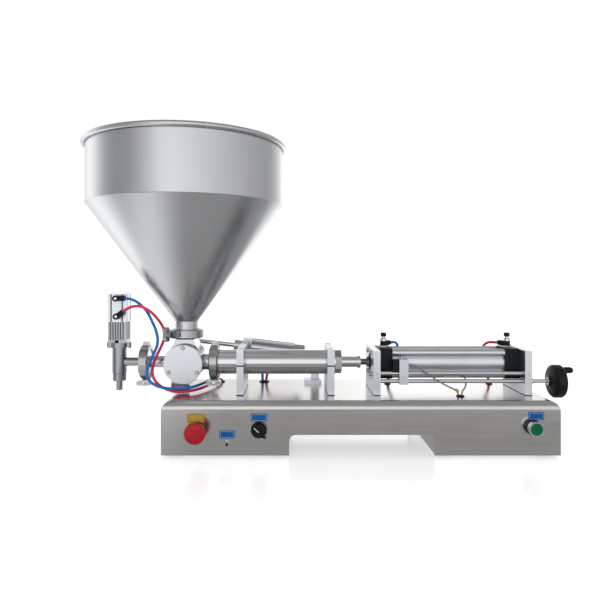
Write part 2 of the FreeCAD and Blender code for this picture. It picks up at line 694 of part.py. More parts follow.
def supports():
    """Two split supports that clamp the product cylinder."""
    feet, caps = [], []
    back = D.upright_front + D.upright_depth
    for name, left in (("left", D.support_left), ("right", D.support_right)):
        right = left + D.upright_thickness
        split = AXIS_Z
        foot = block(name + "_support_foot", (left, D.upright_front, DECK), (right, back, split - D.split_gap / 2))
        cap = block(name + "_support_cap", (left, D.upright_front, split + D.split_gap / 2),
                    (right, back, DECK + D.support_height))
        for pieces, solid, part in ((feet, foot, "foot"), (caps, cap, "cap")):
            label = f"{name}_{part}"
            tools = [rod(label + "_saddle", D.tube_radius, (left - 1, D.axis_y, AXIS_Z), ALONG_X,
                         D.upright_thickness + 2)]
            for n, (x, y) in enumerate(support_screw_places()):
                if abs(float(x - left)) < float(D.upright_thickness):
                    tools.append(rod(f"{label}_tap_{n}", 3, (x, y, AXIS_Z - 16), ALONG_Z, 80))
                    tools.append(rod(f"{label}_sink_{n}", 5.2, (x, y, DECK + D.support_height - 6), ALONG_Z, 10))
            pieces.append(carved(f"{label}_machined", solid, tools))
    keep(grouped("support_feet", feet), "support_feet")
    keep(grouped("support_caps", caps), "support_caps")


def socket_screws():
    """Socket-head screws of the valve cover and of the support caps."""
    screws = []
    for n, (x, z) in enumerate(cover_screw_places()):
        face = D.valve_front - D.cover_thickness
        shank = rod(f"cover_shank_{n}", 2, (x, face, z), ALONG_Y, 15)
        head = rod(f"cover_head_{n}", 3.2, (x, face, z), BACK_Y, 2.6)
        socket = prism(f"cover_socket_{n}", 6, 3, (x, face - 3, z), ALONG_Y, 2)
        screws.append(carved(f"cover_screw_{n}", fused(f"cover_screw_solid_{n}", [shank, head]), [socket]))
    for n, (x, y) in enumerate(support_screw_places()):
        top = DECK + D.support_height
        shank = rod(f"support_shank_{n}", 3, (x, y, AXIS_Z - 15), ALONG_Z, top - 6 - AXIS_Z + 15)
        head = rod(f"support_head_{n}", 5, (x, y, top - 6), ALONG_Z, 5.5)
        socket = prism(f"support_socket_{n}", 6, 5, (x, y, top - 3.5), ALONG_Z, 4)
        screws.append(carved(f"support_screw_{n}", fused(f"support_screw_solid_{n}", [shank, head]), [socket]))
    keep(grouped("socket_screws", screws), "socket_screws")


def piston_train():
    """Product piston, its rod, the coupling and the air piston with its rod, on one axis."""
    gap = D.running_gap
    bore = D.tube_bore - gap
    start = D.piston_start
    length = D.piston_length
    waist = bore - 2
    piston = turned("piston_solid", [
        (0, 0), (bore - 1, 0), (bore, 1), (bore, 7), (waist, 7), (waist, 11), (bore, 11), (bore, 21),
        (waist, 21), (waist, 25), (bore, 25), (bore, length), (0, length)])
    keep(pointed(piston, (start, D.axis_y, AXIS_Z), ALONG_X), "material_piston")
    rod_start = start + length
    rod_length = 12 - rod_start
    shaft = turned("product_rod", [
        (0, 0), (D.rod_radius, 0), (D.rod_radius, rod_length - 6), (13, rod_length - 6), (13, rod_length),
        (0, rod_length)])
    keep(pointed(shaft, (rod_start, D.axis_y, AXIS_Z), ALONG_X), "piston_rod")
    coupling = rod("coupling_neck", 6.5, (12, D.axis_y, AXIS_Z), ALONG_X, 13)
    nut = prism("coupling_nut", 6, 17, (25, D.axis_y, AXIS_Z), ALONG_X, 9.5)
    keep(fused("rod_coupling", [coupling, nut]), "rod_coupling")
    rod_end, head_left = 34.5, 287
    shaft = rod("air_shaft", D.air_rod_radius, (rod_end, D.axis_y, AXIS_Z), ALONG_X, head_left - rod_end)
    head = rod("air_piston", 24.92, (head_left, D.axis_y, AXIS_Z), ALONG_X, 18)
    keep(fused("air_piston_rod", [shaft, head]), "air_piston_rod")

# ---------------------------------------------------------------- air cylinder


def cylinder_plates():
    """Two aluminium uprights that hold the air cylinder, the guide rod and the lead screw."""
    back = D.upright_front + D.upright_depth
    plates = []
    for name, left in (("left", D.plate_left), ("right", D.plate_right)):
        right = left + D.upright_thickness
        plate = block(name + "_plate_blank", (left, D.upright_front, DECK), (right, back, DECK + D.plate_height))
        tools = [rod(name + "_guide_hole", D.guide_radius, (left - 1, D.rod_y, D.guide_z), ALONG_X, 20)]
        if name == "left":
            tools.append(rod("nose_hole", 19, (left - 1, D.axis_y, AXIS_Z), ALONG_X, 20))
            tools.append(rod("screw_blind", D.screw_radius + D.running_gap, (left + 5, D.rod_y, D.screw_z), ALONG_X, 20))
        else:
            tools.append(rod("screw_through", D.screw_radius + D.running_gap, (left - 1, D.rod_y, D.screw_z), ALONG_X, 20))
        middle = left + D.upright_thickness / 2
        tools.append(rod(name + "_grub_hole", 2.2, (middle, D.upright_front - 1, D.guide_z), ALONG_Y, 7))
        plates.append(carved(name + "_plate", plate, tools))
    keep(grouped("cylinder_plates", plates), "cylinder_plates")


def end_cap(name, left, right):
    """Square cast cap with rounded edges along the cylinder."""
    half = D.cap_size / 2
    cap = padded(name + "_blank", "YZ_Plane", [[(-half, -half), (half, -half), (half, half), (-half, half)]],
                 right - left)
    placed(cap, (left, D.axis_y, AXIS_Z))
    return dressed(cap, "Fillet", 6, lambda edge: runs_along(edge, 0))


def air_cylinder():
    """Caps, four-lobed extruded barrel, guide rod for the carriage."""
    first = D.plate_left + D.upright_thickness
    last = D.plate_right
    inner_left = first + D.cap_length
    inner_right = last - D.cap_length
    front = end_cap("front_cap", first, inner_left)
    nose = rod("front_nose", 19, (D.plate_left, D.axis_y, AXIS_Z), ALONG_X, D.upright_thickness + 2)
    rod_hole = rod("rod_hole", D.air_rod_radius + D.running_gap, (D.plate_left - 1, D.axis_y, AXIS_Z), ALONG_X, 60)
    keep(carved("front_cap", fused("front_cap_solid", [front, nose]), [rod_hole]), "front_cap")
    keep(end_cap("rear_cap", inner_right, last), "rear_cap")
    length = inner_right - inner_left
    pieces = [rod("barrel_core", D.barrel_radius, (inner_left, D.axis_y, AXIS_Z), ALONG_X, length)]
    for n, (dy, dz) in enumerate(((1, 1), (1, -1), (-1, 1), (-1, -1))):
        centre = (inner_left, D.axis_y + dy * D.lobe_offset, AXIS_Z + dz * D.lobe_offset)
        pieces.append(rod(f"barrel_lobe_{n}", D.lobe_radius, centre, ALONG_X, length))
    bore = rod("barrel_bore", 25, (inner_left - 1, D.axis_y, AXIS_Z), ALONG_X, length + 2)
    keep(carved("cylinder_barrel", fused("barrel_solid", pieces), [bore]), "cylinder_barrel")
    guide = rod("guide_rod", D.guide_radius, (D.plate_left, D.rod_y, D.guide_z), ALONG_X,
                D.plate_right + D.upright_thickness - D.plate_left)
    keep(guide, "guide_rod")

# ---------------------------------------------------------------- stroke setting


def stroke_setting():
    """Handwheel, lead screw, the carriage it moves and the two reed switches."""
    start = D.plate_left + 6
    outside = D.plate_right + D.upright_thickness
    screw = rod("screw_shaft", D.screw_radius, (start, D.rod_y, D.screw_z), ALONG_X, D.wheel_x - start + 12)
    collar = rod("screw_collar", 6.5, (outside + 0.4, D.rod_y, D.screw_z), ALONG_X, 5)
    keep(fused("lead_screw", [screw, collar]), "lead_screw")

    rim = D.wheel_radius
    wheel = turned("wheel_dish", [
        (D.screw_radius, -13), (8, -13), (9.5, -10.5), (13, -9), (24, -7.5), (rim - 3, -5.5), (rim, -2), (rim, 11),
        (rim - 2, 14), (rim - 6, 15), (23, 11), (10, 8), (9, 13), (0, 13), (0, 12), (D.screw_radius, 12)])
    pointed(wheel, (D.wheel_x, D.rod_y, D.screw_z), ALONG_X)
    grip_y, grip_z = D.rod_y - 6, D.screw_z + 23
    spindle = rod("grip_spindle", 3, (D.wheel_x + 8, grip_y, grip_z), ALONG_X, 26)
    keep(fused("handwheel", [wheel, spindle]), "handwheel")
    grip = turned("grip_turned", [(3.08, 0), (5, 0), (6.5, 4), (6.3, 14), (5, 18), (3.08, 18)])
    keep(pointed(grip, (D.wheel_x + 15.4, grip_y, grip_z), ALONG_X), "handwheel_grip")

    left = D.carriage_left
    right = left + D.carriage_width
    slab = block("carriage_slab", (left, -66, 127), (right, -44, 177))
    bores = [rod("carriage_guide_bore", D.guide_radius + D.running_gap, (left - 1, D.rod_y, D.guide_z), ALONG_X, 20),
             rod("carriage_screw_bore", D.screw_radius + D.running_gap, (left - 1, D.rod_y, D.screw_z), ALONG_X, 20),
             rod("carriage_grub_hole", 2, (left + 9, -67, 142), ALONG_Y, 6)]
    knob = rod("carriage_stud", 2.2, (left + 6, -55, 176), ALONG_Z, 5)
    keep(carved("sensor_carriage", fused("carriage_solid", [slab, knob]), bores), "sensor_carriage")
    body = block("switch_body", (left - 12, -62, 154.5), (left, -46, 176))
    nib = rod("switch_nib", 3.5, (left - 6, -62, 169), BACK_Y, 2.5)
    keep(fused("carriage_sensor", [body, nib]), "carriage_sensor")
    keep(block("fixed_sensor_body", (176, -43.6, 137), (212, -40, 144)), "fixed_sensor")

# ---------------------------------------------------------------- pneumatic fittings


SPEED_CONTROLS = {"left": (61, 1), "right": (320, -1)}  # centre x, way the outlet points along X
OUTLET_WAY = (0.8, 0.6)


def speed_outlet(name):
    """Point and direction where a hose leaves a speed control on the air cylinder."""
    x, way = SPEED_CONTROLS[name]
    reach = 17
    return (x + way * OUTLET_WAY[0] * reach, float(D.axis_y) + OUTLET_WAY[1] * reach, 204.0)


def air_fittings():
    """Black push-in fittings: two speed controls on the air cylinder and two nozzle elbows."""
    fittings = []
    cap_top = AXIS_Z + D.cap_size / 2
    for name, (x, way) in SPEED_CONTROLS.items():
        stalk = rod(name + "_stalk", 8, (x, D.axis_y, cap_top), ALONG_Z, 5)
        body = rod(name + "_body", 7, (x, D.axis_y, cap_top + 5), ALONG_Z, 13)
        needle_way = rod(name + "_needle_way", 2.5 + D.running_gap, (x, D.axis_y, cap_top + 8), ALONG_Z, 12)
        arm = rod(name + "_arm", 5.5, (x, D.axis_y, 204), (way * OUTLET_WAY[0], OUTLET_WAY[1], 0), 17)
        fittings.append(carved(name + "_speed_body", fused(name + "_speed_solid", [stalk, body, arm]), [needle_way]))
    face = -28.5
    for name, (x, z), (dx, dz), length in (("upper", (-492, 299), (1, 0), 17), ("lower", (-491, 262), (0.8, 0.6), 16)):
        stub = rod(name + "_stub", 6.5, (x, face, z), BACK_Y, 16.5)
        arm = rod(name + "_outlet", 5.5, (x, -38, z), (dx, 0, dz), length)
        fittings.append(fused(name + "_elbow", [stub, arm]))
    keep(grouped("air_fittings", fittings), "air_fittings")
    for name, (x, _) in SPEED_CONTROLS.items():
        base = cap_top + 18.2
        knob = turned(name + "_knob", [(0, -8), (2.5, -8), (2.5, 0), (4, 0), (4, 4), (6, 4.5), (6.2, 10), (5, 12),
                                      (0, 12)])
        keep(placed(knob, (x, D.axis_y, base)), name + "_speed_knob")

# ---------------------------------------------------------------- nozzle


def nozzle():
    """Tee-shaped nozzle with a ribbed housing, a compact air cylinder and a shut-off stem."""
    x, y = D.nozzle_x, D.axis_y
    bottom = D.nozzle_bottom
    gap = D.running_gap
    stem_radius = 4
    outside = turned("nozzle_barrel", [
        (5, bottom), (6, bottom), (6.5, bottom + 0.6), (6.5, bottom + 18), (12.5, bottom + 19.5),
        (14, bottom + 21), (14, bottom + 36), (13.4, bottom + 36.4), (D.nozzle_radius, bottom + 37),
        (D.nozzle_radius, D.flange_bottom), (20, D.flange_bottom), (20, D.housing_bottom),
        (stem_radius + gap, D.housing_bottom), (stem_radius + gap, D.flange_bottom - 6),
        (10, D.flange_bottom - 6), (10, bottom + 24), (5, bottom + 20)])
    placed(outside, (x, y, 0))
    ears = padded("nozzle_ears", "XY_Plane", [[(-25.5, -8), (25.5, -8), (25.5, 8), (-25.5, 8)]],
                  D.housing_bottom - D.flange_bottom)
    placed(ears, (x, y, D.flange_bottom))
    dressed(ears, "Fillet", 5, lambda edge: runs_along(edge, 2))
    hollow = rod("nozzle_stem_way", stem_radius + gap, (x, y, bottom), ALONG_Z, 120)
    chamber = rod("nozzle_chamber", 9.8, (x, y, bottom + 25), ALONG_Z, 60)
    pipe = rod("nozzle_pipe", 9, (x + 12, y, AXIS_Z), ALONG_X, D.left_joint_x - D.gasket / 2 - D.nozzle_x - 12)
    flange = ferrule("nozzle_ferrule", (D.left_joint_x - D.gasket / 2, y, AXIS_Z), BACK_X)
    pipe_bore = rod("nozzle_pipe_bore", 7, (x, y, AXIS_Z), ALONG_X, 70)
    solid = fused("nozzle_solid", [outside, ears, pipe, flange])
    keep(carved("nozzle_body", solid, [hollow, chamber, pipe_bore]), "nozzle_body")

    half_x, half_y = 18.5, 17.5
    housing = block("housing_blank", (x - half_x, y - half_y, D.housing_bottom), (x + half_x, y + half_y, D.cylinder_bottom))
    height = D.cylinder_bottom - D.housing_bottom
    tools = [rod("housing_bore", 9, (x, y, D.housing_bottom - 1), ALONG_Z, height + 2),
             block("housing_window", (x - 5, y - half_y - 1, D.housing_bottom - 1), (x + 5, y, D.housing_bottom + 6))]
    groove = 1.3
    for n, offset in enumerate((-13, -7.8, -2.6, 2.6, 7.8, 13)):
        for side, low_y in (("front", y - half_y - 1), ("back", y + half_y - 2.2)):
            tools.append(block(f"{side}_groove_{n}", (x + offset - groove, low_y, D.housing_bottom + 7),
                               (x + offset + groove, low_y + 3.2, D.cylinder_bottom + 1)))
        for side, low_x in (("left", x - half_x - 1), ("right", x + half_x - 2.2)):
            tools.append(block(f"{side}_groove_{n}", (low_x, y + offset * 0.95 - groove, D.housing_bottom + 7),
                               (low_x + 3.2, y + offset * 0.95 + groove, D.cylinder_bottom + 1)))
    keep(carved("nozzle_housing", housing, tools), "nozzle_housing")

    half_x, half_y = 19.5, 18.5
    cylinder = block("compact_blank", (x - half_x, y - half_y, D.cylinder_bottom), (x + half_x, y + half_y, D.cylinder_top))
    tools = [rod("compact_bore", 15, (x, y, D.cylinder_bottom + 6), ALONG_Z, 45),
             rod("compact_gland", stem_radius + gap, (x, y, D.cylinder_bottom - 1), ALONG_Z, 10)]
    for n, offset in enumerate((-11.5, 11.5)):
        for side, low_y in (("front", y - half_y - 1), ("back", y + half_y - 1.8)):
            tools.append(block(f"{side}_slot_{n}", (x + offset - 1.6, low_y, D.cylinder_bottom - 1),
                               (x + offset + 1.6, low_y + 2.8, D.cylinder_top + 1)))
        for side, low_x in (("left", x - half_x - 1), ("right", x + half_x - 1.8)):
            tools.append(block(f"{side}_slot_{n}", (low_x, y + offset - 1.6, D.cylinder_bottom - 1),
                               (low_x + 2.8, y + offset + 1.6, D.cylinder_top + 1)))
    keep(carved("nozzle_air_cylinder", cylinder, tools), "nozzle_air_cylinder")

    plug = 5 - gap
    stem = turned("nozzle_needle", [
        (0, 128), (plug - 1.5, 128), (plug, 130), (plug, 140), (stem_radius, 141), (stem_radius, 285),
        (15 - gap, 285), (15 - gap, 296), (0, 296)])
    keep(placed(stem, (x, y, 0)), "nozzle_stem")

# ---------------------------------------------------------------- valve actuator

PIN_X, PIN_Z = crank_pin_centre()
PIVOT = (float(D.pivot_x), float(D.actuator_y), float(D.pivot_z))
REACH = math.hypot(PIVOT[0] - PIN_X, PIN_Z - PIVOT[2])
SLOPE = math.degrees(math.atan2(PIN_Z - PIVOT[2], PIVOT[0] - PIN_X))


def leaned(thing):
    """Lay a piece drawn along X about the actuator pivot onto the sloping actuator line."""
    inner = thing.Placement
    thing.Placement = FreeCAD.Placement(V(*PIVOT), FreeCAD.Rotation(V(0, 1, 0), SLOPE)).multiply(inner)
    return thing


def on_actuator(x, z):
    """A point of the actuator's own frame, in the machine frame."""
    angle = math.radians(SLOPE)
    return (PIVOT[0] + x * math.cos(angle) + z * math.sin(angle), PIVOT[1],
            PIVOT[2] - x * math.sin(angle) + z * math.cos(angle))


def valve_actuator():
    """Small air cylinder that swings on a bracket and turns the valve through a slotted yoke."""
    half = 20
    front_left, front_right, rear_left, rear_right = -163, -143, -50, -25
    pieces = [
        rod("actuator_tube", 17.5, (front_right, 0, 0), ALONG_X, rear_left - front_right),
        block("actuator_front_cap", (front_left, -half, -half), (front_right, half, half)),
        block("actuator_rear_cap", (rear_left, -half, -half), (rear_right, half, half)),
        rod("actuator_nose", 12.5, (-182, 0, 0), ALONG_X, 20),
        block("actuator_tang", (rear_right - 1, -6, -8), (0, 6, 8)),
        rod("actuator_eye", 8, (0, -6, 0), ALONG_Y, 12),
    ]
    for name, x, way in (("front", -153, ALONG_X), ("rear", -38, BACK_X)):
        pieces.append(rod(f"actuator_{name}_stub", 5.2, (x, 0, -half + 1), DOWN, 13.2))
        pieces.append(rod(f"actuator_{name}_outlet", 4.5, (x, 0, -27), way, 11))
    for n, (dy, dz) in enumerate(((1, 1), (1, -1), (-1, 1), (-1, -1))):
        pieces.append(rod(f"actuator_tie_{n}", 2.5, (front_left, dy * 16, dz * 16), ALONG_X, rear_right - front_left))
    gap = float(D.running_gap)
    tools = [
        rod("actuator_bore", 15, (front_right, 0, 0), ALONG_X, rear_left - front_right),
        rod("actuator_gland", 5 + gap, (-183, 0, 0), ALONG_X, 50),
        rod("actuator_eye_hole", 4 + gap, (0, -7, 0), ALONG_Y, 14),
    ]
    keep(leaned(carved("actuator_barrel", fused("actuator_solid", pieces), tools)), "actuator_barrel")

    slot_low, slot_high, slot_radius, slot_shift = 0.0, 5.62, 4.8, 0.46
    plate_front, plate_back = -1.5, 6.5
    slide = -REACH - slot_shift
    outline = [(slide - 12, -12), (slide + 12, -12), (slide + 22, -5), (slide + 22, 5), (slide + 12, 18),
               (slide - 12, 18)]
    plate = padded("yoke_plate", "XZ_Plane", [outline], plate_back - plate_front, reverse=True)
    placed(plate, (0, plate_front, 0))
    shaft = rod("actuator_shaft", 5, (slide + 14, 0, 0), ALONG_X, -slide - 14 - 100)
    head = rod("actuator_piston", 15 - gap, (-112, 0, 0), ALONG_X, 14)
    slot = [rod("yoke_slot_low", slot_radius, (slide, -4, slot_low), ALONG_Y, 12),
            rod("yoke_slot_high", slot_radius, (slide, -4, slot_high), ALONG_Y, 12),
            block("yoke_slot_middle", (slide - slot_radius, -4, slot_low), (slide + slot_radius, 8, slot_high))]
    keep(leaned(carved("actuator_rod", fused("actuator_rod_solid", [plate, shaft, head]), slot)), "actuator_rod")

    y = D.actuator_y
    pieces = [block("bracket_foot", (D.pivot_x - 24, y - 20, DECK), (D.pivot_x + 14, y + 20, DECK + 8))]
    for name, low in (("front", y - 13.5), ("back", y + 6.5)):
        pieces.append(block(f"bracket_{name}_ear", (D.pivot_x - 9, low, DECK), (D.pivot_x + 9, low + 7, D.pivot_z)))
        pieces.append(rod(f"bracket_{name}_round", 9, (D.pivot_x, low, D.pivot_z), ALONG_Y, 7))
    pieces.append(rod("bracket_pin", 4, (D.pivot_x, y - 16, D.pivot_z), ALONG_Y, 32))
    keep(fused("actuator_bracket", pieces), "actuator_bracket")

# ---------------------------------------------------------------- hoses and cables


def tube_path(points):
    """Straight runs joined by the largest tangent arcs that fit, and the arcs' radii."""
    corners = [V(*p) for p in points]
    edges, radii = [], []
    start = corners[0]
    for before, corner, after in zip(corners, corners[1:], corners[2:]):
        back, ahead = before - corner, after - corner
        turn = math.pi - back.getAngle(ahead)
        setback = 0.45 * min(back.Length, ahead.Length)
        radii.append(setback / math.tan(turn / 2))
        back.normalize()
        ahead.normalize()
        arc_start, arc_end = corner + back * setback, corner + ahead * setback
        inward = (back + ahead).normalize()
        middle = corner + inward * (setback * (1 / math.cos(turn / 2) - 1) / math.tan(turn / 2))
        edges.append(Part.LineSegment(start, arc_start).toShape())
        edges.append(Part.Arc(arc_start, middle, arc_end).toShape())
        start = arc_end
    edges.append(Part.LineSegment(start, corners[-1]).toShape())
    return Part.Wire(edges), radii


def flexible(label, points, radius):
    """A hose or cable swept along its route, checked against its section times its length."""
    path, radii = tube_path(points)
    along = (V(*points[1]) - V(*points[0])).normalize()
    ring = Part.Wire(Part.makeCircle(float(radius), V(*points[0]), along))
    shape = path.makePipeShell([ring], True, False)
    ideal = math.pi * float(radius) ** 2 * path.Length
    print(f"{label}: length {path.Length:.0f}, radii " + " ".join(f"{r:.0f}" for r in radii)
          + f", volume ratio {shape.Volume / ideal:.4f}")
    feature = DOC.addObject("Part::Feature", label)
    feature.Shape = shape
    keep(feature, label)


NOZZLE_BLUE = [
    (-475, -38, 299), (-463, -38, 299), (-445, -40, 290), (-427, -44, 273), (-415, -53, 254), (-404, -60, 234),
    (-399, -65, 212), (-406, -68, 192), (-415, -70, 173), (-421.5, -71, 155), (-418, -72, 138),
    (-404, -72, 126.5), (-384, -71, 121), (-361, -68, 119), (-340, -60.5, 119.5), (-325, -42, 120.5),
    (-315, -16, 121.5), (-307.5, 13, 122.5), (-302, 41, 123), (-299, 63, 120.5), (-298, 78, 114.5), (-298, 79, 106)]
NOZZLE_RED = [
    (-478.2, -38, 271.6), (-468.6, -38, 278.8), (-453, -46, 284), (-434, -55.5, 283.5), (-416, -56, 273),
    (-404, -42, 255.5), (-397.5, -22, 236), (-398, -14, 214), (-404, -27, 195), (-410, -45, 177),
    (-413.5, -58, 158), (-410.5, -62.5, 140), (-398, -63.5, 125), (-380, -63.5, 115.5), (-358, -62.5, 112.2),
    (-338, -57, 112.4), (-322, -38, 113), (-311.5, -11, 113.5), (-303, 18, 114), (-296.5, 44, 115),
    (-292, 64, 115.5), (-290, 77, 112.5), (-290, 79, 106)]
ACTUATOR_BLUE = [on_actuator(-142, -27), on_actuator(-133, -27), (-206, 76, 151), (-199.5, 78, 139), (-198, 79, 123),
                 (-198, 79, 106)]
ACTUATOR_RED = [on_actuator(-49, -27), on_actuator(-60, -27), (-162, 76, 149), (-179, 78, 142), (-188.5, 79, 126),
                (-190, 79, 106)]
CYLINDER_BLUE = [speed_outlet("left"), (84.2, 7.4, 204), (93, 18, 202.5), (98.5, 30, 192), (99, 40, 174),
                 (95, 47.5, 153), (87.5, 52.5, 133), (81.5, 54, 118.5), (80, 54, 106)]
CYLINDER_RED = [speed_outlet("right"), (296.8, 7.4, 204), (288, 18, 202.5), (282.5, 30, 192), (283, 40, 174),
                (288, 47.5, 153), (297, 52.5, 133), (303.8, 54, 118.5), (305, 54, 106)]
CARRIAGE_CABLE = [(102.5, -50, 164), (112, -50, 164), (124, -58, 160), (139, -66, 150), (155, -70, 139),
                  (171, -71.5, 129.5), (186, -72.5, 122), (198, -74, 117), (201, -75, 106)]
FIXED_CABLE = [(212, -41.8, 140.5), (219.5, -41.8, 140.5), (224.5, -41.4, 133.5), (225, -41, 122.5), (220, -52, 118.5),
               (213, -65, 117.5), (206.5, -74.5, 114.5), (206.5, -75, 106)]


def hoses_and_cables():
    """Air hoses of the nozzle, actuator and air cylinder, and the two reed switch cables."""
    for label, points in (("nozzle_hose_blue", NOZZLE_BLUE), ("nozzle_hose_red", NOZZLE_RED),
                          ("actuator_hose_blue", ACTUATOR_BLUE), ("actuator_hose_red", ACTUATOR_RED),
                          ("cylinder_hose_blue", CYLINDER_BLUE), ("cylinder_hose_red", CYLINDER_RED)):
        flexible(label, points, D.hose_radius)
    for label, points in (("carriage_cable", CARRIAGE_CABLE), ("fixed_cable", FIXED_CABLE)):
        flexible(label, points, D.cable_radius)

# ---------------------------------------------------------------- build and write


for make in (base_cabinet, bottom_covers, rubber_feet, air_control_valve, air_inlet, grommets, panel_collars,
             estop, selector_knob, start_control, pedal_socket, valve_pedestal, valve_body, valve_cover,
             valve_rotor, valve_crank, hopper, clamped_joints, material_tube, tube_end_nut, supports,
             socket_screws, piston_train, cylinder_plates, air_cylinder, stroke_setting, air_fittings, nozzle,
             valve_actuator, hoses_and_cables):
    make()
DOC.recompute()

for thing in DOC.Objects:
    if "Invalid" in thing.State or "Error" in thing.State:
        raise RuntimeError(f"{thing.Label} failed to recompute: {thing.State}")
for part in SUBPARTS:
    if part.Shape.isNull() or not part.Shape.isValid() or not part.Shape.Solids:
        raise RuntimeError(f"{part.Label} has no valid shape")

os.makedirs("parts", exist_ok=True)
for part in SUBPARTS:
    part.Shape.exportStep(f"parts/{part.Label}.step")
print(f"{len(SUBPARTS)} sub-parts")
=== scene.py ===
"""Bench-top pneumatic piston filler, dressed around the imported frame.

Blender units are metres in the row frame: +X towards the handwheel, +Y away from the operator, +Z up.
Sizes below are in millimetres and are scaled by MM.
"""
import json
import math

import bmesh
import bpy
from mathutils import Matrix, Vector


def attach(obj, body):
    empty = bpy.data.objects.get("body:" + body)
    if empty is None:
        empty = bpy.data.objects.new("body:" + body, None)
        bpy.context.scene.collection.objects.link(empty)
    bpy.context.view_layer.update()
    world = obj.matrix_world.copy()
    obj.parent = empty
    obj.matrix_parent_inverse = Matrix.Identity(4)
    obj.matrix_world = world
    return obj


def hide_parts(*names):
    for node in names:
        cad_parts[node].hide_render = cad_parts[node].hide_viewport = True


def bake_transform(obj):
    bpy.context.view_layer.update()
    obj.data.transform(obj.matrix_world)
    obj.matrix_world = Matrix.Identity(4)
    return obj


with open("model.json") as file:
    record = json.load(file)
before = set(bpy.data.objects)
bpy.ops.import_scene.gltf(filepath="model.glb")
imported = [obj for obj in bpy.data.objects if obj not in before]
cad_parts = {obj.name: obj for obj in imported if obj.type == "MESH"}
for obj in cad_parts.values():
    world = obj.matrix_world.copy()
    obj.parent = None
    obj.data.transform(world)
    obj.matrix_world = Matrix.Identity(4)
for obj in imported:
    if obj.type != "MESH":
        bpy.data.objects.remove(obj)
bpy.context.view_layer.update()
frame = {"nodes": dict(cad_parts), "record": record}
NODES = frame["nodes"]
MM = 0.001
SCENE = bpy.context.scene

# Stations on the machine, in millimetres.
AXIS_Y, AXIS_Z = -10, 165
DECK = 106
FRONT, BACK = -125, 125
VALVE_X, NOZZLE_X = -353, -494
SUPPORTS, UPRIGHTS = (-235, -53), (39, 342)
UPRIGHT_LEFT_FACE, UPRIGHT_RIGHT_FACE = 32, 349
CLAMPS, CLAMP_NUT_Z = (-437, -293), AXIS_Z - 41
HOPPER_CLAMP_Z, HOPPER_CLAMP_TURN = 225, math.radians(240)
CONTROLS = {"stop": (-311, 53), "selector": (-193.5, 54), "start": (326, 58.5)}  # x and z on the front
SPEED_CONTROLS = ((61, 1, "left_needle_valve"), (320, -1, "right_needle_valve"))  # x, hose side, knob's body
OUTLET_REACH, OUTLET_Z = 17, 204
OUTLET_ACROSS, OUTLET_BACK = 0.8, 0.6
NOZZLE_FITTINGS = ((-492, 299, (1, 0), 17), (-491, 262, (0.8, 0.6), 16))  # x, z, hose direction, reach
WHEEL = (399, -55, 132.5)
CRANK_REACH, CRANK_ANGLE = 44, math.radians(30)
ACTUATOR_Y, ACTUATOR_PIVOT = 75, (-80, 168)

ALONG_X, ALONG_Y, ALONG_Z = (1, 0, 0), (0, 1, 0), (0, 0, 1)
BACK_X, BACK_Y, DOWN = (-1, 0, 0), (0, -1, 0), (0, 0, -1)

# ---------------------------------------------------------------- camera


def set_camera():
    """Level view from the operator's side, framed like the reference with a small shift."""
    data = bpy.data.cameras.new("camera")
    camera = bpy.data.objects.new("camera", data)
    SCENE.collection.objects.link(camera)
    data.sensor_width = 36
    data.lens = 33.96
    data.shift_x = 0.01
    data.shift_y = -0.04
    data.clip_end = 50
    camera.location = (-0.127, -1.2, 0.345)
    camera.rotation_euler = (math.radians(90), 0, 0)
    SCENE.camera = camera


set_camera()

# ---------------------------------------------------------------- materials

NOISE_LOW, NOISE_HIGH = 0.3, 0.7  # where most of a noise factor lies
CLOUD_SHARE = 0.35
FINE_RELIEF, MOULDED_RELIEF = 0.0001, 0.00008  # metres


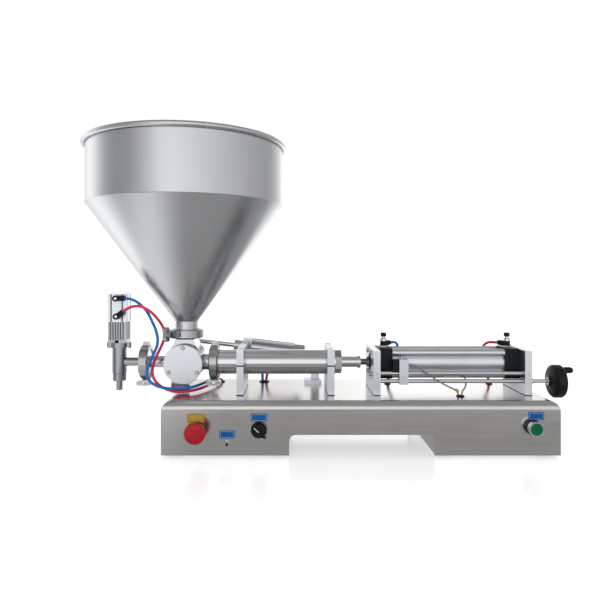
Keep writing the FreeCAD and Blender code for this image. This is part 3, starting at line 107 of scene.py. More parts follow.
class Nodes:
    """A small helper that wires up one material's node tree."""

    def __init__(self, name):
        self.material = bpy.data.materials.new(name)
        self.material.use_nodes = True
        self.tree = self.material.node_tree
        self.shader = self.tree.nodes["Principled BSDF"]

    def add(self, kind, **values):
        """A new node with some of its settings or inputs filled in."""
        node = self.tree.nodes.new(kind)
        for name, value in values.items():
            if hasattr(node, name):
                setattr(node, name, value)
            else:
                node.inputs[name].default_value = value
        return node

    def link(self, source, target):
        """Join an output to an input."""
        self.tree.links.new(source, target)

    def put(self, socket, value):
        """Set a value that is the same all over on the shader itself."""
        self.shader.inputs[socket].default_value = value

    def noise(self, scale, detail, roughness=0.5, spot=(0, 0, 0)):
        """Noise in the row frame, stretched by a scale for each axis, in cycles a metre."""
        place = self.add("ShaderNodeTexCoord")
        mapping = self.add("ShaderNodeMapping")
        mapping.inputs["Scale"].default_value = scale
        mapping.inputs["Location"].default_value = spot
        noise = self.add("ShaderNodeTexNoise", Scale=1.0, Detail=detail, Roughness=roughness)
        self.link(place.outputs["Object"], mapping.inputs["Vector"])
        self.link(mapping.outputs["Vector"], noise.inputs["Vector"])
        return noise.outputs["Fac"]

    def spread(self, factor, low, high):
        """Map a noise factor onto a range of numbers."""
        span = self.add("ShaderNodeMapRange")
        limits = {"From Min": NOISE_LOW, "From Max": NOISE_HIGH, "To Min": low, "To Max": high}
        for name, value in limits.items():
            span.inputs[name].default_value = value
        self.link(factor, span.inputs["Value"])
        return span.outputs["Result"]

    def tint(self, factor, dark, light):
        """Map a noise factor onto two colours."""
        ramp = self.add("ShaderNodeValToRGB")
        first, last = ramp.color_ramp.elements
        first.position, last.position = NOISE_LOW, NOISE_HIGH
        first.color, last.color = (*dark, 1), (*light, 1)
        self.link(factor, ramp.inputs["Fac"])
        return ramp.outputs["Color"]

    def bump(self, factor, strength, distance):
        """Relief that a factor raises."""
        bump = self.add("ShaderNodeBump", Strength=strength, Distance=distance)
        self.link(factor, bump.inputs["Height"])
        return bump.outputs["Normal"]

    def finish(self, colour, roughness, relief):
        """Link the three outputs that every finish has to the shader."""
        for source, socket in ((colour, "Base Color"), (roughness, "Roughness"), (relief, "Normal")):
            self.link(source, self.shader.inputs[socket])


def scaled(colour, factor):
    """A colour made darker or lighter."""
    return tuple(min(1.0, channel * factor) for channel in colour)


def brushed_metal(name, colour, roughness, grain, contrast, strength, blotch=9.0, unevenness=0.2):
    """Metal with fine scratches along one direction and faint cloudy variation."""
    nodes = Nodes(name)
    fine = nodes.noise(grain, detail=4, roughness=0.6)
    cloud = nodes.noise((blotch, blotch, blotch), detail=3, spot=(3.1, 1.7, 0.4))
    blend = nodes.add("ShaderNodeMix", data_type="FLOAT")
    blend.inputs["Factor"].default_value = CLOUD_SHARE
    nodes.link(fine, blend.inputs["A"])
    nodes.link(cloud, blend.inputs["B"])
    mixed = blend.outputs["Result"]
    nodes.finish(nodes.tint(mixed, scaled(colour, 1 - contrast), scaled(colour, 1 + contrast)),
                 nodes.spread(mixed, roughness * (1 - unevenness), roughness * (1 + unevenness)),
                 nodes.bump(fine, strength, FINE_RELIEF))
    nodes.put("Metallic", 1.0)
    return nodes.material


def grainy_metal(name, colour, roughness, grain=1400.0, strength=0.15):
    """Bead-blasted or cast metal with an even, fine grain."""
    nodes = Nodes(name)
    fine = nodes.noise((grain, grain, grain), detail=2)
    cloud = nodes.noise((14, 14, 14), detail=3)
    nodes.finish(nodes.tint(cloud, scaled(colour, 0.93), scaled(colour, 1.05)),
                 nodes.spread(fine, roughness * 0.85, roughness * 1.15),
                 nodes.bump(fine, strength, FINE_RELIEF))
    nodes.put("Metallic", 1.0)
    return nodes.material


def moulded(name, colour, roughness, grain=900.0, strength=0.12, coat=0.0, wear=0.12, shine=0.3):
    """Moulded plastic, rubber or paint with fine texture and slight colour change."""
    nodes = Nodes(name)
    fine = nodes.noise((grain, grain, grain), detail=2)
    cloud = nodes.noise((30, 30, 30), detail=3, spot=(0.7, 2.2, 5.0))
    nodes.finish(nodes.tint(cloud, scaled(colour, 1 - wear), scaled(colour, 1 + wear)),
                 nodes.spread(cloud, roughness * 0.85, roughness * 1.2),
                 nodes.bump(fine, strength, MOULDED_RELIEF))
    nodes.put("Coat Weight", coat)
    nodes.put("Specular IOR Level", shine)
    nodes.put("Coat Roughness", 0.08)
    return nodes.material


def clear_plastic(name, colour):
    """Tinted, slightly see-through plastic."""
    material = moulded(name, colour, 0.18, coat=0.6)
    shader = material.node_tree.nodes["Principled BSDF"]
    shader.inputs["Transmission Weight"].default_value = 0.35
    shader.inputs["IOR"].default_value = 1.49
    return material


M = {
    "cabinet_steel": brushed_metal("cabinet_steel", (0.60, 0.588, 0.575), 0.21, (10, 260, 260),
                                   0.05, 0.03, 13.0),
    "hopper_steel": brushed_metal("hopper_steel", (0.585, 0.597, 0.612), 0.27, (16, 16, 4),
                                  0.045, 0.004, 5.0, 0.08),
    "machined_steel": brushed_metal("machined_steel", (0.585, 0.60, 0.63), 0.20, (180, 900, 180), 0.06, 0.06),
    "cast_clamp": grainy_metal("cast_clamp", (0.43, 0.43, 0.44), 0.17, 500.0, 0.22),
    "polished_steel": brushed_metal("polished_steel", (0.66, 0.66, 0.67), 0.13, (700, 30, 30), 0.05, 0.05),
    "bright_chrome": brushed_metal("bright_chrome", (0.74, 0.74, 0.76), 0.07, (900, 20, 20), 0.03, 0.03),
    "satin_aluminium": grainy_metal("satin_aluminium", (0.70, 0.73, 0.765), 0.33, 1600.0, 0.12),
    "nickel_brass": grainy_metal("nickel_brass", (0.60, 0.57, 0.48), 0.24),
    "black_caps": moulded("black_caps", (0.012, 0.014, 0.018), 0.38, 1200.0, 0.2, shine=0.14),
    "black_plastic": moulded("black_plastic", (0.010, 0.011, 0.013), 0.34, 900.0, 0.15, 0.05, shine=0.16),
    "red_plastic": moulded("red_plastic", (0.50, 0.014, 0.028), 0.32, 700.0, 0.06, 0.1, shine=0.2),
    "green_plastic": moulded("green_plastic", (0.002, 0.17, 0.062), 0.30, 700.0, 0.06, 0.05, shine=0.12),
    "amber_plastic": clear_plastic("amber_plastic", (0.55, 0.54, 0.48)),
    "white_seal": moulded("white_seal", (0.82, 0.82, 0.79), 0.42, 600.0, 0.08),
    "black_rubber": moulded("black_rubber", (0.014, 0.014, 0.014), 0.62, 800.0, 0.3),
    "blue_hose": moulded("blue_hose", (0.004, 0.17, 0.60), 0.24, 500.0, 0.04, 0.25),
    "red_hose": moulded("red_hose", (0.82, 0.022, 0.10), 0.24, 500.0, 0.04, 0.25),
    "grey_cable": moulded("grey_cable", (0.23, 0.23, 0.24), 0.45, 900.0, 0.1),
}
LABEL_YELLOW = moulded("label_yellow", (0.60, 0.36, 0.06), 0.42, 1500.0, 0.03, 0.0, 0.04, 0.2)
LABEL_BLUE = moulded("label_blue", (0.008, 0.13, 0.44), 0.4, 1500.0, 0.03, 0.0, 0.05, 0.15)
LABEL_LINE = moulded("label_line", (0.75, 0.80, 0.86), 0.4, 1500.0, 0.03, 0.2, 0.03)
# Steel with turned grain, with its colour darkened as painted shade in place of the dark surroundings
# mirrored in the nozzle.
SHADE_DARKENED_STEEL = brushed_metal("shade_darkened_steel", (0.36, 0.37, 0.39), 0.16, (60, 60, 900), 0.08, 0.05)
DARK_STEEL = grainy_metal("dark_steel", (0.13, 0.14, 0.16), 0.30, 800.0, 0.15)
DARK_LINE = moulded("dark_line", (0.03, 0.025, 0.02), 0.5, 1500.0, 0.03, 0.0, 0.03)

# The nozzle's parts and the tube's end nut take the steel darkened with painted shade.
FINISHES = {"nozzle_body": SHADE_DARKENED_STEEL, "nozzle_housing": SHADE_DARKENED_STEEL, "tube_end_nut": SHADE_DARKENED_STEEL,
            "rod_coupling": DARK_STEEL, "actuator_barrel": M["machined_steel"]}


def paint_nodes():
    """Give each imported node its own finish, or else the material of its slot."""
    slots = {entry["node"]: entry["material_slot"] for entry in frame["record"]["subparts"]}
    for name, thing in NODES.items():
        thing.data.materials.clear()
        thing.data.materials.append(FINISHES.get(name, M[slots[name]]))


paint_nodes()

# ---------------------------------------------------------------- mesh building


def frame_matrix(origin, direction, roll=0.0):
    """Places local +Z along a direction at a point given in millimetres."""
    turn = Vector((0, 0, 1)).rotation_difference(Vector(direction).normalized()).to_matrix().to_4x4()
    return Matrix.Translation(Vector(origin) * MM) @ turn @ Matrix.Rotation(roll, 4, "Z")


EDGE_CHAMFER = 0.4
SMOOTH_ANGLE = math.radians(38)


class Piece:
    """Collects shapes into one mesh."""

    def __init__(self):
        self.mesh = bmesh.new()

    def lathe(self, profile, origin, direction, segments):
        """Turn a profile of (radius, height) millimetres about a direction; ends on the axis close it."""
        place = frame_matrix(origin, direction)
        rings = []
        for radius, height in profile:
            if radius < 1e-6:
                rings.append([self.mesh.verts.new(place @ Vector((0, 0, height * MM)))])
                continue
            ring = []
            for n in range(segments):
                angle = 2 * math.pi * n / segments
                spot = Vector((radius * math.cos(angle), radius * math.sin(angle), height)) * MM
                ring.append(self.mesh.verts.new(place @ spot))
            rings.append(ring)
        if profile[0] == profile[-1]:
            for vert in rings[-1]:
                self.mesh.verts.remove(vert)
            rings[-1] = rings[0]
        for lower, upper in zip(rings, rings[1:]):
            for n in range(segments):
                after = (n + 1) % segments
                if len(lower) == 1 and len(upper) == 1:
                    continue
                if len(lower) == 1:
                    self.mesh.faces.new((lower[0], upper[after], upper[n]))
                elif len(upper) == 1:
                    self.mesh.faces.new((lower[n], lower[after], upper[0]))
                else:
                    self.mesh.faces.new((lower[n], lower[after], upper[after], upper[n]))
        return self

    def slab(self, size, origin, direction=(0, 0, 1), roll=0.0, round_corners=0.0, segments=4):
        """A plate centred on its origin, standing along a direction, with rounded corners in plan."""
        place = frame_matrix(origin, direction, roll)
        width, depth, height = [s / 2 for s in size]
        if round_corners:
            outline = []
            for quarter, (sx, sy) in enumerate(((1, 1), (-1, 1), (-1, -1), (1, -1))):
                cx, cy = sx * (width - round_corners), sy * (depth - round_corners)
                for step in range(segments + 1):
                    angle = math.pi / 2 * (quarter + step / segments)
                    outline.append((cx + round_corners * math.cos(angle),
                                    cy + round_corners * math.sin(angle)))
        else:
            outline = [(width, depth), (-width, depth), (-width, -depth), (width, -depth)]
        lean = min(height * 0.6, EDGE_CHAMFER)
        levels = [(-height, 0.0), (height - lean, 0.0), (height, lean)]
        rings = []
        for level, inset in levels:
            ring = []
            for x, y in outline:
                spot = Vector((x * (1 - inset / width), y * (1 - inset / depth), level)) * MM
                ring.append(self.mesh.verts.new(place @ spot))
            rings.append(ring)
        count = len(outline)
        for lower, upper in zip(rings, rings[1:]):
            for n in range(count):
                after = (n + 1) % count
                self.mesh.faces.new((lower[n], lower[after], upper[after], upper[n]))
        self.mesh.faces.new(list(reversed(rings[0])))
        self.mesh.faces.new(rings[-1])
        return self

    def ring(self, radius, thickness, origin, direction, segments=48, sides=10):
        """A round bead, as a torus."""
        profile = []
        for n in range(sides + 1):
            angle = 2 * math.pi * (n % sides) / sides
            profile.append((radius + thickness * math.cos(angle), thickness * math.sin(angle)))
        return self.lathe(profile, origin, direction, segments)

    def socket_screw(self, origin, direction, radius, height):
        """A cap screw head with a hexagonal socket."""
        key = radius * 0.5
        self.lathe([(radius * 0.97, 0), (radius, 0.3), (radius, height - 0.5), (radius - 0.5, height),
                    (key * 1.12, height)], origin, direction, 24)
        self.lathe([(key * 1.12, height), (key, height - 0.2), (key, height - 2.0), (0, height - 2.0)],
                   origin, direction, 6)
        return self

    def hexagon(self, across_flats, height, origin, direction):
        """A chamfered hexagon nut."""
        radius = across_flats / 2 / math.cos(math.pi / 6)
        return self.lathe([(0, 0), (radius * 0.93, 0), (radius, 0.5), (radius, height - 0.5),
                           (radius * 0.93, height), (0, height)], origin, direction, 6)

    def finish(self, name, body, slot, material=None):
        """Turn the collected shapes into an object that rides on a body, if one is named."""
        bmesh.ops.recalc_face_normals(self.mesh, faces=self.mesh.faces)
        data = bpy.data.meshes.new(name)
        self.mesh.to_mesh(data)
        self.mesh.free()
        for face in data.polygons:
            face.use_smooth = True
        data.set_sharp_from_angle(angle=SMOOTH_ANGLE)
        thing = bpy.data.objects.new(name, data)
        SCENE.collection.objects.link(thing)
        data.materials.append(material or M[slot])
        if body:
            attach(thing, body)
        return thing


# ---------------------------------------------------------------- hoses and cables


def on_actuator(x, z):
    """A point of the valve actuator's own line, in millimetres of the row frame."""
    pin_x, pin_z = VALVE_X - CRANK_REACH * math.sin(CRANK_ANGLE), AXIS_Z + CRANK_REACH * math.cos(CRANK_ANGLE)
    pivot_x, pivot_z = ACTUATOR_PIVOT
    slope = math.atan2(pin_z - pivot_z, pivot_x - pin_x)
    return (pivot_x + x * math.cos(slope) + z * math.sin(slope), ACTUATOR_Y,
            pivot_z - x * math.sin(slope) + z * math.cos(slope))


def speed_outlet(x, way):
    """Where a hose leaves a speed control on the air cylinder."""
    return (x + way * OUTLET_ACROSS * OUTLET_REACH, AXIS_Y + OUTLET_BACK * OUTLET_REACH, OUTLET_Z)


NOZZLE_BLUE = [
    (-475, -38, 299), (-463, -38, 299), (-445, -40, 290), (-427, -44, 273), (-415, -53, 254),
    (-404, -60, 234),
    (-399, -65, 212), (-406, -68, 192), (-415, -70, 173), (-421.5, -71, 155), (-418, -72, 138),
    (-404, -72, 126.5), (-384, -71, 121), (-361, -68, 119), (-340, -60.5, 119.5), (-325, -42, 120.5),
    (-315, -16, 121.5), (-307.5, 13, 122.5), (-302, 41, 123), (-299, 63, 120.5), (-298, 78, 114.5),
    (-298, 79, 106)]
NOZZLE_RED = [
    (-478.2, -38, 271.6), (-468.6, -38, 278.8), (-453, -46, 284), (-434, -55.5, 283.5), (-416, -56, 273),
    (-404, -42, 255.5), (-397.5, -22, 236), (-398, -14, 214), (-404, -27, 195), (-410, -45, 177),
    (-413.5, -58, 158), (-410.5, -62.5, 140), (-398, -63.5, 125), (-380, -63.5, 115.5), (-358, -62.5, 112.2),
    (-338, -57, 112.4), (-322, -38, 113), (-311.5, -11, 113.5), (-303, 18, 114), (-296.5, 44, 115),
    (-292, 64, 115.5), (-290, 77, 112.5), (-290, 79, 106)]
ACTUATOR_BLUE = [on_actuator(-142, -27), on_actuator(-133, -27), (-206, 76, 151), (-199.5, 78, 139),
                 (-198, 79, 123), (-198, 79, 106)]
ACTUATOR_RED = [on_actuator(-49, -27), on_actuator(-60, -27), (-162, 76, 149), (-179, 78, 142),
                (-188.5, 79, 126),
                (-190, 79, 106)]
CYLINDER_BLUE = [speed_outlet(61, 1), (84.2, 7.4, 204), (93, 18, 202.5), (98.5, 30, 192), (99, 40, 174),
                 (95, 47.5, 153), (87.5, 52.5, 133), (81.5, 54, 118.5), (80, 54, 106)]
CYLINDER_RED = [speed_outlet(320, -1), (296.8, 7.4, 204), (288, 18, 202.5), (282.5, 30, 192), (283, 40, 174),
                (288, 47.5, 153), (297, 52.5, 133), (303.8, 54, 118.5), (305, 54, 106)]
CARRIAGE_CABLE = [(102.5, -50, 164), (112, -50, 164), (124, -58, 160), (139, -66, 150), (155, -70, 139),
                  (171, -71.5, 129.5), (186, -72.5, 122), (198, -74, 117), (201, -75, 106)]
FIXED_CABLE = [(212, -41.8, 140.5), (219.5, -41.8, 140.5), (224.5, -41.4, 133.5), (225, -41, 122.5),
               (220, -52, 118.5), (213, -65, 117.5), (206.5, -74.5, 114.5), (206.5, -75, 106)]


def route_curve(name, route, radius):
    """A smooth curve with the route's points as its control points."""
    data = bpy.data.curves.new(name, "CURVE")
    data.dimensions = "3D"
    spline = data.splines.new("NURBS")
    spline.points.add(len(route) - 1)
    for point, spot in zip(spline.points, route):
        point.co = (*[c * MM for c in spot], 1)
    spline.order_u = 3
    spline.use_endpoint_u = True
    data.resolution_u = 10
    data.bevel_depth = radius * MM
    data.bevel_resolution = 5
    data.use_fill_caps = True
    piece = bpy.data.objects.new(name, data)
    SCENE.collection.objects.link(piece)
    return piece


def curve_mesh(piece):
    """The curve as Blender makes it now, as a mesh."""
    bpy.context.view_layer.update()
    return bpy.data.meshes.new_from_object(piece.evaluated_get(bpy.context.evaluated_depsgraph_get()))


def curve_line(piece):
    """The points that the curve's own line passes, with no thickness."""
    thick = piece.data.bevel_depth
    piece.data.bevel_depth = 0
    mesh = curve_mesh(piece)
    line = [tuple(v.co) for v in mesh.vertices]
    piece.data.bevel_depth = thick
    bpy.data.meshes.remove(mesh)
    return line


def cable_tag():
    """Yellow marker sleeve on the carriage's cable."""
    tag = Piece().lathe([(1.6, -4), (2.6, -4), (2.8, 0), (2.6, 4), (1.6, 4)], (197, -73.8, 117.5),
                        (0.9, -0.1, -0.4), 20)
    return tag.finish("cable_tag", None, "amber_plastic", LABEL_YELLOW)


def flexible(node, route, radius, slot, moves_with=None, tags=()):
    """A hose or cable along its route. With a moving body named, the hose and its tags are baked into meshes
    where they lie and ride on no body; without one, the hose rides on the machine frame."""
    piece = route_curve(node + "_line", route, radius)
    path = None
    if moves_with:
        path = curve_line(piece)
        mesh = curve_mesh(piece)
        tube = bpy.data.objects.new(node + "_tube", mesh)
        SCENE.collection.objects.link(tube)
        bpy.data.objects.remove(piece)
        piece = tube
        for face in mesh.polygons:
            face.use_smooth = True
    piece.data.materials.clear()
    piece.data.materials.append(M[slot])
    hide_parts(node)
    if moves_with:
        for thing in (piece, *tags):
            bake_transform(thing)
    else:
        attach(piece, "machine_frame")


HOSE, CABLE = 3, 1.5
flexible("nozzle_hose_blue", NOZZLE_BLUE, HOSE, "blue_hose")
flexible("nozzle_hose_red", NOZZLE_RED, HOSE, "red_hose")
flexible("actuator_hose_blue", ACTUATOR_BLUE, HOSE, "blue_hose", "actuator")
flexible("actuator_hose_red", ACTUATOR_RED, HOSE, "red_hose", "actuator")
flexible("cylinder_hose_blue", CYLINDER_BLUE, HOSE, "blue_hose")
flexible("cylinder_hose_red", CYLINDER_RED, HOSE, "red_hose")
flexible("carriage_cable", CARRIAGE_CABLE, CABLE, "grey_cable", "switch_carriage", [cable_tag()])
flexible("fixed_cable", FIXED_CABLE, CABLE, "grey_cable", None)

# ---------------------------------------------------------------- cabinet details


def labels():
    """Blank label plates with a printed border, one above each control."""
    stations = [("stop_label", -313.5, 75, 33, 18, LABEL_YELLOW, DARK_LINE),
                ("pedal_label", -254, 44, 30, 15, LABEL_BLUE, LABEL_LINE),
                ("selector_label", -193.5, 76.5, 31, 15, LABEL_BLUE, LABEL_LINE),
                ("start_label", 333, 79, 30, 15, LABEL_BLUE, LABEL_LINE)]
    for name, x, z, width, height, material, line in stations:
        plate = Piece().slab((width, height, 0.8), (x, FRONT - 0.4, z), BACK_Y, round_corners=1.5)
        plate.finish(name, "machine_frame", "black_plastic", material)
        border = Piece()
        for side in (-1, 1):
            border.slab((width - 5, 0.5, 0.3), (x, FRONT - 0.85, z + side * (height / 2 - 2)), BACK_Y)
            border.slab((0.5, height - 4.5, 0.3), (x + side * (width / 2 - 2), FRONT - 0.85, z), BACK_Y)
        border.finish(name + "_border", "machine_frame", "black_plastic", line)


def panel_controls():
    """The line on the selector's face, beads round the collars and the contact in the pedal socket."""
    x, z = CONTROLS["selector"]
    angle, off_centre = math.radians(138), 5
    spot = (x + off_centre * math.cos(angle), FRONT - 21.5, z + off_centre * math.sin(angle))
    mark = Piece().slab((12, 1.6, 0.5), spot, BACK_Y, roll=angle, round_corners=0.7)
    mark.finish("selector_mark", "selector", "white_seal")
    beads = Piece()
    for x, z in CONTROLS.values():
        beads.ring(14.2, 0.8, (x, FRONT - 8, z), BACK_Y)
    beads.finish("collar_beads", "machine_frame", "black_plastic")
    contact = Piece().lathe([(0, 0), (2.9, 0), (2.9, 1.0), (1.4, 1.0), (1.2, 0.4), (0, 0.4)],
                            (-254.5, FRONT - 2.4, 26), BACK_Y, 24)
    contact.finish("jack_contact", "machine_frame", "black_plastic", DARK_LINE)


def rear_panel():
    """Service panel on the back of the cabinet, with round-head screws."""
    panel = Piece().slab((230, 70, 1.2), (-250, BACK + 0.6, 58), ALONG_Y, round_corners=4)
    panel.finish("rear_panel", "machine_frame", "cabinet_steel")
    screws = Piece()
    for x in (-357, -250, -143):
        for z in (29, 87):
            screws.socket_screw((x, BACK + 1.2, z), ALONG_Y, 2.8, 2.2)
    screws.finish("rear_panel_screws", "machine_frame", "polished_steel")


labels()
panel_controls()
rear_panel()

# ---------------------------------------------------------------- machine details


def valve_details():
    """Seal line behind the cover, weld beads on the stubs, the crank's nut, and dark rings and dots of
    painted shade in the cover's screw recesses.
    """
    seal = Piece().ring(38.6, 0.9, (VALVE_X, -47.6, AXIS_Z), ALONG_Y, 64)
    seal.finish("cover_seal", "machine_frame", "black_rubber")
    beads = Piece()
    beads.ring(12.4, 0.9, (VALVE_X - 39, AXIS_Y, AXIS_Z), ALONG_X)
    beads.ring(16.7, 0.9, (VALVE_X + 38.5, AXIS_Y, AXIS_Z), ALONG_X)
    beads.ring(18.2, 0.9, (VALVE_X, AXIS_Y, AXIS_Z + 49.4), ALONG_Z)
    beads.finish("stub_welds", "machine_frame", "machined_steel")
    crank_face = (VALVE_X, 70, AXIS_Z)
    nut = Piece().hexagon(13, 6, crank_face, ALONG_Y)
    nut.lathe([(0, 6), (4, 6), (4, 9), (3.4, 9.6), (0, 9.6)], crank_face, ALONG_Y, 24)
    nut.finish("crank_nut", "valve_spindle", "polished_steel")
    # Dark rings round the cover's screw heads and dark dots in their sockets: painted shade in the recesses.
    recess_shade = Piece()
    for x, z in ((0, 33.5), (-29, -16.75), (29, -16.75)):
        spot = (VALVE_X + x, -52, AXIS_Z + z)
        recess_shade.lathe([(3.3, -0.2), (4.4, -0.2), (4.4, 0.25), (3.3, 0.25), (3.3, -0.2)], spot, BACK_Y, 32)
        recess_shade.lathe([(0, 1.2), (1.9, 1.2), (1.9, 2.4), (0, 2.4)], spot, BACK_Y, 12)
    recess_shade.finish("cover_recess_shade", "machine_frame", "black_rubber", DARK_LINE)


def clamp_wings():
    """Rounded wings on the three clamp nuts."""
    wings = Piece()
    size, rounding = (30, 12, 9), 5.9
    for x in CLAMPS:
        wings.slab(size, (x, AXIS_Y - 19, CLAMP_NUT_Z), BACK_Y, round_corners=rounding, segments=8)
        wings.lathe([(0, 0), (4.2, 0), (4.2, 2.5), (3.2, 3.2), (0, 3.2)], (x, AXIS_Y - 23.5, CLAMP_NUT_Z),
                    BACK_Y, 24)
    turn = HOPPER_CLAMP_TURN
    side, along = Vector((math.cos(turn), math.sin(turn), 0)), Vector((-math.sin(turn), math.cos(turn), 0))
    spot = Vector((VALVE_X, AXIS_Y, HOPPER_CLAMP_Z)) + side * 41 - along * 19
    wings.slab(size, spot, -along, roll=turn - math.radians(270), round_corners=rounding, segments=8)
    wings.finish("clamp_wings", "machine_frame", "cast_clamp", M["polished_steel"])


def support_shade_and_rod_ring():
    """Black slabs of painted shade in the gaps where the supports split and where supports and uprights stand
    on the deck, and a black ring round the air cylinder's rod.
    """
    shade_and_ring = Piece()
    # Black slabs in the split gaps and under the feet on the deck: painted shade.
    for x in SUPPORTS:
        shade_and_ring.slab((14.4, 27.5, 2.8), (x, -55.5, AXIS_Z))
        shade_and_ring.slab((14.4, 30, 2.8), (x, 37.2, AXIS_Z))
        shade_and_ring.slab((14.4, 121.4, 1.6), (x, -8.5, DECK + 0.9))
    for x in UPRIGHTS:
        shade_and_ring.slab((14.3, 121.4, 1.2), (x, -8.5, DECK + 0.7))
    shade_and_ring.lathe([(11, 0.2), (18.5, 0.2), (18.5, 0.7), (11, 0.7), (11, 0.2)],
                (UPRIGHT_LEFT_FACE, AXIS_Y, AXIS_Z), BACK_X, 48)
    shade_and_ring.finish("support_shade_and_rod_ring", "machine_frame", "black_rubber")


def hopper_details():
    """Weld beads where the hopper's sheets meet, and a dark ring of painted shade under its rolled rim."""
    beads = Piece()
    beads.ring(201, 0.8, (VALVE_X, AXIS_Y, 492), ALONG_Z, 128, 8)
    beads.ring(24.2, 0.9, (VALVE_X, AXIS_Y, 251), ALONG_Z, 48, 8)
    beads.finish("hopper_welds", "machine_frame", "hopper_steel")
    # Dark ring under the rolled rim: painted shade where the bead overhangs the wall.
    rim_shade = Piece().ring(201.3, 0.9, (VALVE_X, AXIS_Y, 607.6), ALONG_Z, 128, 8)
    rim_shade.finish("rim_shade_ring", "machine_frame", "hopper_steel", DARK_STEEL)


def upright_screws():
    """Cap screws of the air cylinder in the faces of the uprights, and grub screws in their edges."""
    screws = Piece()
    for y in (-22, 22):
        for z in (-22, 22):
            screws.socket_screw((UPRIGHT_RIGHT_FACE, AXIS_Y + y, AXIS_Z + z), ALONG_X, 5, 4)
            screws.socket_screw((UPRIGHT_LEFT_FACE, AXIS_Y + y, AXIS_Z + z), BACK_X, 5, 4)
    for x in UPRIGHTS:
        screws.lathe([(2.1, -0.2), (2.1, -1.5), (0, -1.5)], (x, -69, 148.5), BACK_Y, 6)
    screws.finish("upright_screws", "machine_frame", "polished_steel")


def fitting_details():
    """Release rings where the hoses enter their fittings, bright collars and caps, and the knobs' sleeves."""
    rings = Piece()
    profile = [(3.1, 0), (4.6, 0), (5.0, 0.8), (5.0, 1.6), (3.1, 1.6)]
    for x, way, _ in SPEED_CONTROLS:
        rings.lathe(profile, speed_outlet(x, way), (way * OUTLET_ACROSS, OUTLET_BACK, 0), 32)
    for x, z, (dx, dz), reach in NOZZLE_FITTINGS:
        rings.lathe(profile, (x + dx * reach, -38, z + dz * reach), (dx, 0, dz), 32)
    rings.finish("release_rings", "machine_frame", "black_plastic", LABEL_BLUE)
    collars = Piece()
    for x, _, _ in SPEED_CONTROLS:
        collars.hexagon(17, 3.4, (x, AXIS_Y, 196), ALONG_Z)
        collars.lathe([(7.05, 9), (7.5, 9.3), (7.5, 13.4), (6.6, 14.2), (3.4, 14.2), (3.4, 13.8),
                       (7.05, 13.8), (7.05, 9)], (x, AXIS_Y, 200), ALONG_Z, 32)
    for x, z, _, _ in NOZZLE_FITTINGS:
        collars.lathe([(0, 0.3), (1.0, 0.3), (1.1, 0.7), (2.4, 0.7), (2.8, 0.3), (2.8, -0.2)], (x, -45, z),
                      BACK_Y, 32)
    collars.finish("fitting_collars", "machine_frame", "bright_chrome")
    for x, _, body in SPEED_CONTROLS:
        sleeve = Piece().lathe([(4.02, 0.3), (4.5, 0.5), (4.5, 3.6), (4.02, 3.9)],
                               (x, AXIS_Y, 214.2), ALONG_Z, 32)
        sleeve.finish(body + "_sleeve", body, "bright_chrome")


def wheel_details():
    """Bright hub of the handwheel, and the collar on the side of the screw."""
    hub = Piece().lathe([(0, 13.2), (5, 13.2), (6.5, 12.6), (7, 11), (7, 9)], WHEEL, ALONG_X, 32)
    hub.lathe([(4.05, -12.9), (4.05, -13.9), (7.4, -13.9), (8, -13.4), (8, -12.9)], WHEEL, ALONG_X, 32)
    hub.finish("wheel_hub", "stroke_handwheel", "bright_chrome")


def groove_shade(name, half_x, half_y, depth, offsets, squeeze, width, low, high):
    """Dark slabs of painted shade on the bottoms of the upright grooves round a square block of the nozzle.
    """
    shade_slabs = Piece()
    height, middle = high - low, (low + high) / 2
    # Thin dark slabs on the groove bottoms: painted shade, so the shallow grooves show as dark lines.
    for offset in offsets:
        for side in (-1, 1):
            shade_slabs.slab((width, height, 0.4),
                        (NOZZLE_X + offset, AXIS_Y + side * (half_y - depth), middle), (0, side, 0))
            shade_slabs.slab((height, width, 0.4),
                        (NOZZLE_X + side * (half_x - depth), AXIS_Y + offset * squeeze, middle), (side, 0, 0))
    shade_slabs.finish(name, "machine_frame", "machined_steel", DARK_STEEL)


def nozzle_details():
    """Painted shade on the groove bottoms, cover screws of the compact cylinder and clamp bolts of the nozzle
    flange.
    """
    groove_shade("housing_groove_shade", 18.5, 17.5, 2.1, (-13, -7.8, -2.6, 2.6, 7.8, 13), 0.95,
                  2.5, 213.2, 249.5)
    groove_shade("compact_slot_shade", 19.5, 18.5, 1.7, (-11.5, 11.5), 1.0, 3.1, 250.2, 306.5)
    screws = Piece()
    for x in (-14, 14):
        for y in (-13, 13):
            screws.lathe([(2.6, 0), (2.6, 0.6), (1.5, 0.8), (1.4, 0.1), (0, 0.1)],
                         (NOZZLE_X + x, AXIS_Y + y, 307), ALONG_Z, 20)
    screws.finish("compact_cylinder_screws", "machine_frame", "polished_steel")
    bolts = Piece()
    for x in (-21.5, 21.5):
        bolts.socket_screw((NOZZLE_X + x, AXIS_Y, 196), DOWN, 3.2, 3)
    bolts.finish("flange_bolts", "machine_frame", "polished_steel")


valve_details()
clamp_wings()
support_shade_and_rod_ring()
hopper_details()
upright_screws()
fitting_details()
wheel_details()
nozzle_details()

# ---------------------------------------------------------------- stage and light

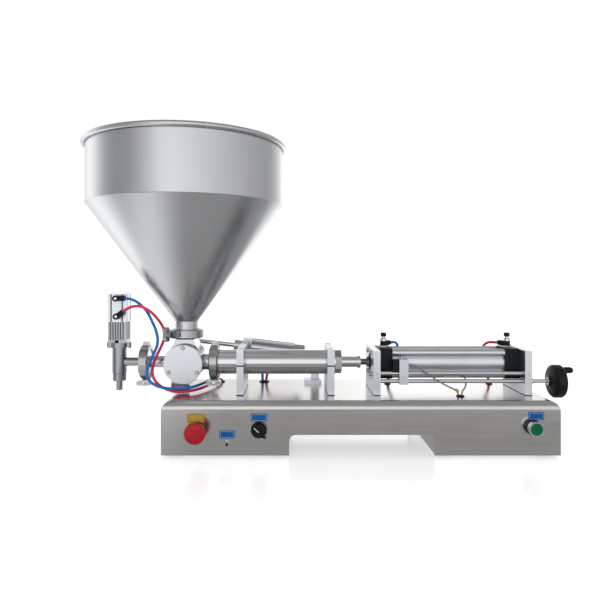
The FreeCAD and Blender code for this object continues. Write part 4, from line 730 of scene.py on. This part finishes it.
# How bright the floor looks in the metal from its left end to the rest, over these metres of X,
# and how far out it fades into the room.
FLOOR_LEFT, FLOOR_NEAR = 1.0, 0.38
FLOOR_CHANGE = (-0.68, -0.28)
FLOOR_FADE = (0.75, 1.15)
ROOM = [  # degrees round from the operator's side towards the handwheel, and brightness there
    (-180, 1.1), (-170, 1.05), (-155, 0.9), (-140, 1.0), (-122, 1.8), (-106, 1.1), (-92, 0.5),
    (-63, 0.30), (-38, 0.60), (-15, 1.4), (8, 1.15), (31, 1.0), (55, 0.78), (83, 0.64), (119, 0.42),
    (140, 0.8), (155, 1.2), (165, 1.5), (172, 1.5), (180, 1.1)]
RAMP_TOP = 2  # the brightness that a full colour of the ramp stands for
OVERHEAD = 0.38
OVERHEAD_RISE = (0.28, 0.75)  # how steeply up the room turns into what is overhead


def seen_directly(tree):
    """1 for what the eye sees straight on, 0 for what shows in a reflection."""
    return tree.nodes.new("ShaderNodeLightPath").outputs["Is Camera Ray"]


def multiplied(tree, source, factor):
    """A source times a number."""
    node = tree.nodes.new("ShaderNodeMath")
    node.operation = "MULTIPLY"
    node.inputs[1].default_value = factor
    tree.links.new(source, node.inputs[0])
    return node.outputs["Value"]


def level(tree, source, low, high, start, end):
    """A smooth change from one number to another as a source goes from start to end."""
    ramp = tree.nodes.new("ShaderNodeMapRange")
    ramp.interpolation_type = "SMOOTHSTEP"
    for name, value in (("From Min", start), ("From Max", end), ("To Min", low), ("To Max", high)):
        ramp.inputs[name].default_value = value
    tree.links.new(source, ramp.inputs["Value"])
    return ramp.outputs["Result"]


def stage_floor():
    """Wide pale floor, white to the eye. In the metal it is grey, brighter left, and fades into the room."""
    mesh = bpy.data.meshes.new("floor")
    reach = 9
    corners = [(-reach, -reach, 0), (reach, -reach, 0), (reach, reach, 0), (-reach, reach, 0)]
    mesh.from_pydata(corners, [], [(0, 1, 2, 3)])
    floor = bpy.data.objects.new("floor", mesh)
    SCENE.collection.objects.link(floor)
    nodes = Nodes("floor")
    nodes.put("Base Color", (0.90, 0.90, 0.90, 1))
    nodes.put("Roughness", 0.16)
    nodes.put("Emission Color", (1, 1, 1, 1))
    nodes.put("Emission Strength", 0.52)
    place = nodes.add("ShaderNodeTexCoord")
    split = nodes.add("ShaderNodeSeparateXYZ")
    nodes.link(place.outputs["Object"], split.inputs["Vector"])
    glow = nodes.add("ShaderNodeEmission")
    nodes.link(level(nodes.tree, split.outputs["X"], FLOOR_LEFT, FLOOR_NEAR, *FLOOR_CHANGE),
               glow.inputs["Strength"])
    away = nodes.add("ShaderNodeVectorMath", operation="LENGTH")
    nodes.link(place.outputs["Object"], away.inputs[0])
    dim = nodes.add("ShaderNodeMixShader")
    nodes.link(level(nodes.tree, away.outputs["Value"], 0, 1, *FLOOR_FADE), dim.inputs["Fac"])
    nodes.link(glow.outputs["Emission"], dim.inputs[1])
    nodes.link(nodes.add("ShaderNodeBsdfTransparent").outputs["BSDF"], dim.inputs[2])
    choose = nodes.add("ShaderNodeMixShader")
    nodes.link(seen_directly(nodes.tree), choose.inputs["Fac"])
    nodes.link(dim.outputs["Shader"], choose.inputs[1])
    nodes.link(nodes.shader.outputs["BSDF"], choose.inputs[2])
    nodes.link(choose.outputs["Shader"], nodes.tree.nodes["Material Output"].inputs["Surface"])
    mesh.materials.append(nodes.material)


def softbox(name, place, target, size, glow):
    """A soft rectangular light that points at a target, with the radiance of its glow, and isn't mirrored."""
    data = bpy.data.lights.new(name, "AREA")
    data.shape = "RECTANGLE"
    data.size, data.size_y = size
    data.energy = glow * math.pi * size[0] * size[1]
    light = bpy.data.objects.new(name, data)
    SCENE.collection.objects.link(light)
    light.location = place
    light.rotation_euler = (Vector(target) - Vector(place)).to_track_quat("-Z", "Y").to_euler()
    light.visible_camera = False
    light.visible_glossy = False


def studio_world():
    """White surroundings, seen in the metal as soft bright and grey areas round the machine."""
    world = bpy.data.worlds.new("studio")
    SCENE.world = world
    world.use_nodes = True
    tree = world.node_tree
    background = tree.nodes["Background"]
    place = tree.nodes.new("ShaderNodeTexCoord")
    split = tree.nodes.new("ShaderNodeSeparateXYZ")
    tree.links.new(place.outputs["Generated"], split.inputs["Vector"])
    front = multiplied(tree, split.outputs["Y"], -1)
    bearing = tree.nodes.new("ShaderNodeMath")
    bearing.operation = "ARCTAN2"
    tree.links.new(split.outputs["X"], bearing.inputs[0])
    tree.links.new(front, bearing.inputs[1])
    turn = tree.nodes.new("ShaderNodeMapRange")
    turn.inputs["From Min"].default_value = -math.pi
    turn.inputs["From Max"].default_value = math.pi
    tree.links.new(bearing.outputs["Value"], turn.inputs["Value"])
    ramp = tree.nodes.new("ShaderNodeValToRGB")
    ramp.color_ramp.interpolation = "B_SPLINE"
    stops = ramp.color_ramp.elements
    while len(stops) < len(ROOM):
        stops.new(0.5)
    for stop, (degrees, bright) in zip(stops, ROOM):
        share = bright / RAMP_TOP
        stop.position = (degrees + 180) / 360
        stop.color = (share, share, share, 1)
    tree.links.new(turn.outputs["Result"], ramp.inputs["Fac"])
    around = multiplied(tree, ramp.outputs["Color"], RAMP_TOP)
    rise = tree.nodes.new("ShaderNodeMix")
    rise.inputs["B"].default_value = OVERHEAD
    tree.links.new(level(tree, split.outputs["Z"], 0, 1, *OVERHEAD_RISE), rise.inputs["Factor"])
    tree.links.new(around, rise.inputs["A"])
    choose = tree.nodes.new("ShaderNodeMix")
    choose.inputs["B"].default_value = 1.0
    tree.links.new(seen_directly(tree), choose.inputs["Factor"])
    tree.links.new(rise.outputs["Result"], choose.inputs["A"])
    tree.links.new(choose.outputs["Result"], background.inputs["Strength"])
    background.inputs["Color"].default_value = (1, 1, 1, 1)


stage_floor()
studio_world()
softbox("key", (-1.0, -2.4, 1.7), (-0.3, 0, 0.2), (1.2, 1.2), 1.6)
softbox("top", (-0.1, -0.1, 2.6), (0, 0, 0), (1.2, 0.8), 1.5)
SCENE.view_settings.view_transform = "Standard"
